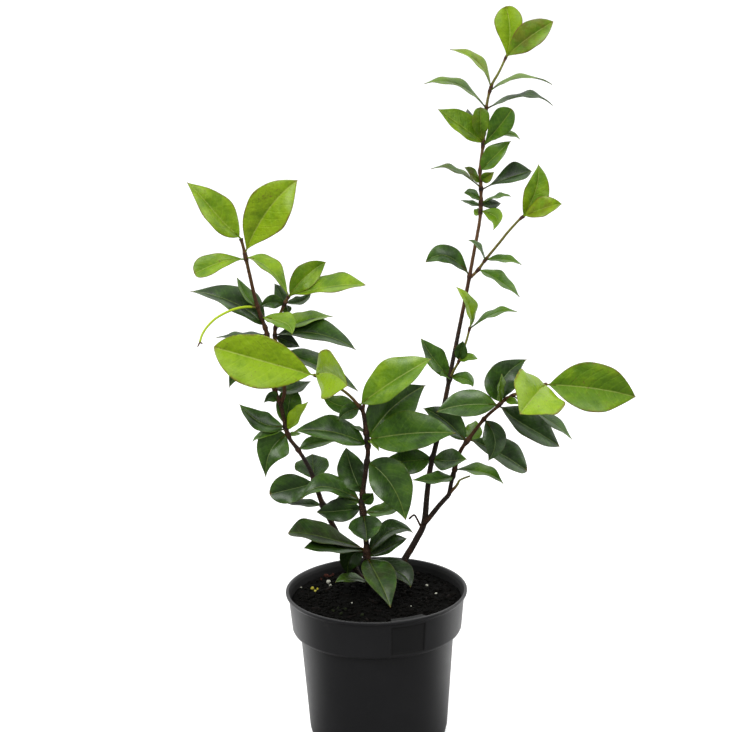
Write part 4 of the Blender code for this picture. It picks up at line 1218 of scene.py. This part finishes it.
# Middle stem
# The shortest of the three stems. It stands upright in the middle of the pot, with the largest leaves, and
# forks into a long shoot to the left and a short one to the right.
MIDDLE_ENTRY_PX = (370, 588)
MIDDLE_ROUTE = [
    (368, 575, 16, 4.4),
    (367, 558, 15, 4.2),
    (366, 540, 14, 4.0),
    (363, 512, 12, 3.8),
    (362, 500, 12, 3.7),
    (366, 470, 10, 3.5),
    (368, 450, 9, 3.4),
    (366, 432, 8, 3.3),
    (363, 412, 8, 3.0),
    (358, 405, 6, 2.4),
    (350, 396, 2, 2.1),
    (338, 387, -7, 1.9),
    (326, 381, -16, 1.8),
    (314, 375, -25, 1.7),
]
MIDDLE_RIGHT_ROUTE = [
    (363, 412, 8, 2.4),
    (364, 404, 9, 2.2),
    (366, 398, 10, 2.0),
]
MIDDLE_TIP_JOINT_PX = (323, 379.5)
MIDDLE_LEAVES = [
    Leaf((366, 399), (396, 377), (431, 358), 36, 8, 0.65),
    Leaf((368, 440), (392, 408), (426, 385), 44, -14, 0.3, shine=0.9),
    Leaf((368, 440), (412, 432), (456, 433), 41, 18, 0.35),
    Leaf((367, 440), (374, 444), (379, 451), 5, 8, 0.7),
    Leaf((358, 408), (339, 405), (322, 394), 18, -5, 0.35),
    Leaf((359, 409), (347, 412), (339, 420), 16, 16, 0.2),
    Leaf((366, 433), (357, 428), (350, 425), 4, -8, 0.3),
    Leaf((367, 446), (333, 430), (294, 430), 26, 10, 0.25),
    Leaf((367, 462), (391, 484), (406, 521), 41, 12, 0.3, shine=0.9),
    Leaf((362, 494), (352, 470), (346, 447), 29, -16, 0.15),
    Leaf((361, 502), (328, 485), (300, 499), 20, 8, 0.2),
    Leaf((361, 503), (346, 499), (334, 500), 12, -8, 0.4),
    Leaf((362, 508), (338, 511), (316, 512), 24, 6, 0.1),
    Leaf((364, 514), (366, 529), (366, 541), 34, 26, 0.12),
    Leaf((364, 512), (388, 509), (405, 500), 14, -4, 0.35),
    Leaf((363, 502), (369, 498), (373, 493), 13, 12, 0.15),
    Leaf((366, 550), (320, 534), (288, 531), 22, 9, 0.05, peak=0.6, power=1.8, bronze=0.08, shine=0.2),
    Leaf((366, 551), (329, 547), (304, 547), 13, 26, 0.1),
    Leaf((366, 552), (351, 557), (348, 575), 24, -6, 0.05),
    Leaf((368, 556), (390, 529), (414, 532), 17, -4, 0.1),
    Leaf((368, 557), (389, 545), (407, 538), 17, 2, 0.1),
    Leaf((368, 558), (379, 577), (391, 607), 31, 44, 0.14, bronze=0.08, shine=0.3),
    Leaf((368, 560), (398, 570), (411, 587), 20, 24, 0),
    Leaf((369, 583), (350, 578), (335, 582), 9, 12, 0.2, bronze=0.1),
]
middle_line, middle_tip_line = cut_line(stem_line(MIDDLE_ROUTE, MIDDLE_ENTRY_PX), MIDDLE_TIP_JOINT_PX)
middle_right = stem_line(MIDDLE_RIGHT_ROUTE)
grow("middle_stem", middle_line, MIDDLE_LEAVES, mature, [middle_right])


# Young tip of the middle stem
# A pair of wide lime green leaves at the end of the left shoot. They are this year's, soft and pale. One
# lies flat to the left and one hangs down.
MIDDLE_TIP_LEAVES = [
    Leaf((315, 375.5), (263, 361), (213, 347), 53, 3, 1, peak=0.54, power=1.8),
    Leaf((315, 375.5), (328, 374), (347, 386), 50, 48, 0.95, peak=0.54, roll=0.3),
]
grow("middle_tip", middle_tip_line, MIDDLE_TIP_LEAVES, young)


# Tall stem
# The main stem. It leans to the right and then climbs almost upright, with small leaves in pairs, a dried
# twig near its foot, and the stubs of three branches that are pieces of their own.
TALL_ENTRY_PX = (390, 589)
TALL_ROUTE = [
    (398, 570, 14, 5.0),
    (406, 557, 14, 4.9),
    (416, 540, 14, 4.7),
    (424, 523, 15, 4.5),
    (427, 495, 17, 4.1),
    (430, 470, 19, 3.9),
    (437, 440, 22, 3.7),
    (446, 396, 26, 3.4),
    (451, 370, 28, 3.2),
    (458, 335, 31, 3.0),
    (464, 305, 34, 2.8),
    (469, 279, 36, 2.7),
    (474, 252, 38, 2.5),
    (480, 218, 41, 2.4),
    (481, 190, 43, 2.3),
    (480, 170, 44, 2.2),
    (483, 145, 46, 2.1),
    (486, 110, 47, 2.0),
    (491, 87, 48, 1.9),
    (499, 72, 49, 1.7),
    (507, 55, 50, 1.5),
]
TWIG_ROUTE = [
    (422, 529, 14, 1.6),
    (417, 519, 10, 1.5),
    (414, 515, 8, 1.5),
    (409, 519, 6, 1.4),
]
TALL_TIP_JOINT_PX = (502, 66)
SIDE_ROUTE = [
    (471, 277, 36, 2.2),
    (478, 270, 35, 2.1),
    (486, 259, 32, 2.0),
    (500, 242, 28, 1.9),
    (508, 232, 25, 1.8),
    (519, 220, 22, 1.8),
    (524, 216, 21, 1.7),
]
SIDE_JOINT_PX = (476, 272.3)
SMALL_ROUTE = [
    (450, 379, 28, 2.0),
    (454, 370, 23, 1.9),
    (459, 361, 20, 1.8),
    (466, 342, 17, 1.7),
    (470, 327, 16, 1.6),
]
SMALL_JOINT_PX = (455.5, 368)
RIGHT_ROUTE = [
    (424, 524, 14, 3.8),
    (430, 517, 13.5, 3.7),
    (437, 508, 13, 3.6),
    (444, 500, 12, 3.5),
    (449, 494, 11, 3.4),
    (451, 484, 10, 3.1),
    (454, 472, 9, 3.0),
    (460, 452, 8, 2.9),
    (468, 440, 5, 2.8),
    (484, 419, -2, 2.5),
    (496, 408, -6, 2.3),
    (506, 399, -9, 2.2),
    (521, 392, -13, 2.0),
    (536, 387, -17, 1.9),
    (547, 384, -20, 1.8),
]
RIGHT_JOINT_PX = (433, 513)
TALL_LEAVES = [
    Leaf((491, 87), (477, 60.5), (450, 49), 9, 6, 0.85, bronze=0.4),
    Leaf((491, 91), (520, 77), (553, 82), 5, 4, 0.6, bronze=0.15),
    Leaf((486, 108), (456, 83), (424, 82), 8, 5, 0.55, bronze=0.2),
    Leaf((486, 109), (524, 95), (553, 105), 6, 10, 0.2),
    Leaf((483, 144), (461, 124), (438, 109), 22, 6, 0.75),
    Leaf((483, 142), (481, 127), (482, 108), 18, 9, 0.65, peak=0.7, power=1.8, curl=0.3, bronze=0.3),
    Leaf((483, 145), (499, 126), (510, 109), 24, 16, 0.45, peak=0.66, power=1.8, curl=0.3),
    Leaf((484, 143), (475, 124), (468, 108), 12, -26, 0.1),
    Leaf((483, 146), (504, 134), (520, 139), 7, 6, 0.5),
    Leaf((480, 171), (495, 155), (511, 141), 19, 4, 0.5),
    Leaf((480, 181), (472, 174), (465, 167), 9, 14, 0.5, bronze=0.5),
    Leaf((480, 180), (487, 177), (494, 172), 11, 9, 0.5, bronze=0.5),
    Leaf((480, 188), (457, 170), (431, 168), 5, 2, 0.35, bronze=0.4),
    Leaf((481, 190), (508, 177), (532, 170), 20, -3, 0.1, peak=0.66, power=3.6),
    Leaf((480, 200), (472, 194), (464, 193), 9, 10, 0.3),
    Leaf((480, 206), (471, 203), (461, 200), 5, -7, 0.1),
    Leaf((481, 205), (492, 204), (501, 203), 10, -8, 0.1),
    Leaf((481, 203), (498, 196), (511, 196), 4, 6, 0.4),
    Leaf((480, 211), (496, 217), (493, 230), 15, 17, 0.7),
    Leaf((480, 212), (477, 212), (474, 209), 8, -5, 0.7),
    Leaf((470, 276), (448, 255), (425, 262), 18, 2, 0.2, peak=0.5),
    Leaf((449, 377), (434.5, 358), (421, 338), 20, 2, 0.3),
    Leaf((450, 377), (466, 379), (473, 387), 13, 12, 0.4),
    Leaf((449, 379), (445, 375), (440, 376), 5, 14, 0.4),
    Leaf((433, 458), (408, 461), (382, 461), 26, -6, 0.2),
    Leaf((433, 459), (450, 460), (467, 459), 22, 26, 0.3),
]
tall_line, tall_tip_line = cut_line(stem_line(TALL_ROUTE, TALL_ENTRY_PX), TALL_TIP_JOINT_PX)
right_stub, right_rest = cut_line(stem_line(RIGHT_ROUTE), RIGHT_JOINT_PX)
side_stub, side_rest = cut_line(stem_line(SIDE_ROUTE), SIDE_JOINT_PX)
small_stub, small_line = cut_line(stem_line(SMALL_ROUTE), SMALL_JOINT_PX)
tall_stubs = [right_stub, side_stub, small_stub]
grow("tall_stem", tall_line, TALL_LEAVES, mature, tall_stubs, [stem_line(TWIG_ROUTE)])


# Young tip of the tall stem
# The last pair of leaves at the very top, soft and new, one lime green and one flushed with bronze. They
# grow on from the end of the tall stem.
TALL_TIP_LEAVES = [
    Leaf((506, 58), (510, 32), (506, 6), 28, -4, 0.95, peak=0.68, power=1.8),
    Leaf((506, 58), (528, 37), (553, 21), 27, 10, 0.7, peak=0.54, bronze=0.5),
]
grow("tall_tip", tall_tip_line, TALL_TIP_LEAVES, young)


# Side shoot and small shoot
# Two thin shoots of the tall stem: one slants up to the right and ends in a young pair, and one stays
# short. Both grow on from their stubs on that stem.
SIDE_TIP_JOINT_PX = (517, 222)
SIDE_LEAVES = [
    Leaf((486, 260), (506, 259), (522, 264), 8, 5, 0.5),
    Leaf((479, 270), (501, 280.5), (521, 296), 12, 10, 0.45),
    Leaf((485, 260), (480, 248), (469, 239), 5, 10, 0.3),
]
SIDE_TIP_LEAVES = [
    Leaf((522, 217), (536, 191), (538.5, 164), 25, -4, 0.75),
    Leaf((523, 216), (545, 207), (562, 204), 19, 14, 0.8, bronze=0.4),
]
SMALL_LEAVES = [
    Leaf((470, 329), (470.5, 308), (457, 286), 11, 4, 0.85),
    Leaf((470, 329), (494, 313), (518, 311), 7, 5, 0.45),
    Leaf((459, 361), (461, 350), (463, 341), 13, 6, 0.15),
    Leaf((459, 361), (468, 358), (478, 359), 8, 10, 0.55),
]
side_line, side_tip_line = cut_line(side_rest, SIDE_TIP_JOINT_PX)
grow("side_shoot", side_line, SIDE_LEAVES, mature)
grow("side_tip", side_tip_line, SIDE_TIP_LEAVES, young)
grow("small_shoot", small_line, SMALL_LEAVES, mature)


# Right branch and its young tip
# A strong branch that forks off low down and reaches to the right with long dark leaves, a thin spur, and a
# pair of wide lime green leaves at its end.
SPUR_ROUTE = [
    (449, 494, 11, 2.4),
    (457, 485, 8, 2.0),
    (460, 480, 7, 1.5),
    (470, 476, 5, 1.3),
]
RIGHT_TIP_JOINT_PX = (538, 386.5)
RIGHT_LEAVES = [
    Leaf((453, 476), (437, 479), (412, 479), 12, 9, 0.35),
    Leaf((456, 470), (483, 471), (504, 484), 12, 10, 0.4),
    Leaf((499, 405), (466, 404), (436, 412), 28, 3, 0.28, shine=1),
    Leaf((466, 442), (447, 421), (423, 408), 24, -8, 0.15),
    Leaf((467, 441), (473, 431), (476, 420), 18, -14, 0.5),
    Leaf((499, 402), (503, 379), (527, 359), 32, -12, 0.1),
    Leaf((484, 419), (495, 440), (488, 461), 24, 8, 0.1, shine=0.9),
    Leaf((469, 440), (501, 452), (529, 470), 26, -6, 0.15, peak=0.58, power=1.8),
    Leaf((499, 406), (529, 425), (561, 446), 27, -8, 0.12, peak=0.5, shine=0.3),
    Leaf((513, 396), (546, 417), (574, 438), 11, 10, 0.25),
    Leaf((506, 399), (512, 401), (519, 404), 8, 10, 0.5),
    Leaf((500, 402), (500, 388), (502, 374), 8, 10, 0.5),
]
RIGHT_TIP_LEAVES = [
    Leaf((545, 384.5), (537, 393), (520, 414), 58, 50, 0.95, peak=0.5),
    Leaf((545, 384.5), (591, 388), (636, 397), 50, 4, 0.65, peak=0.5),
]
right_line, right_tip_line = cut_line(right_rest, RIGHT_TIP_JOINT_PX)
grow("right_branch", right_line, RIGHT_LEAVES, mature, [stem_line(SPUR_ROUTE)])
grow("right_tip", right_tip_line, RIGHT_TIP_LEAVES, young)
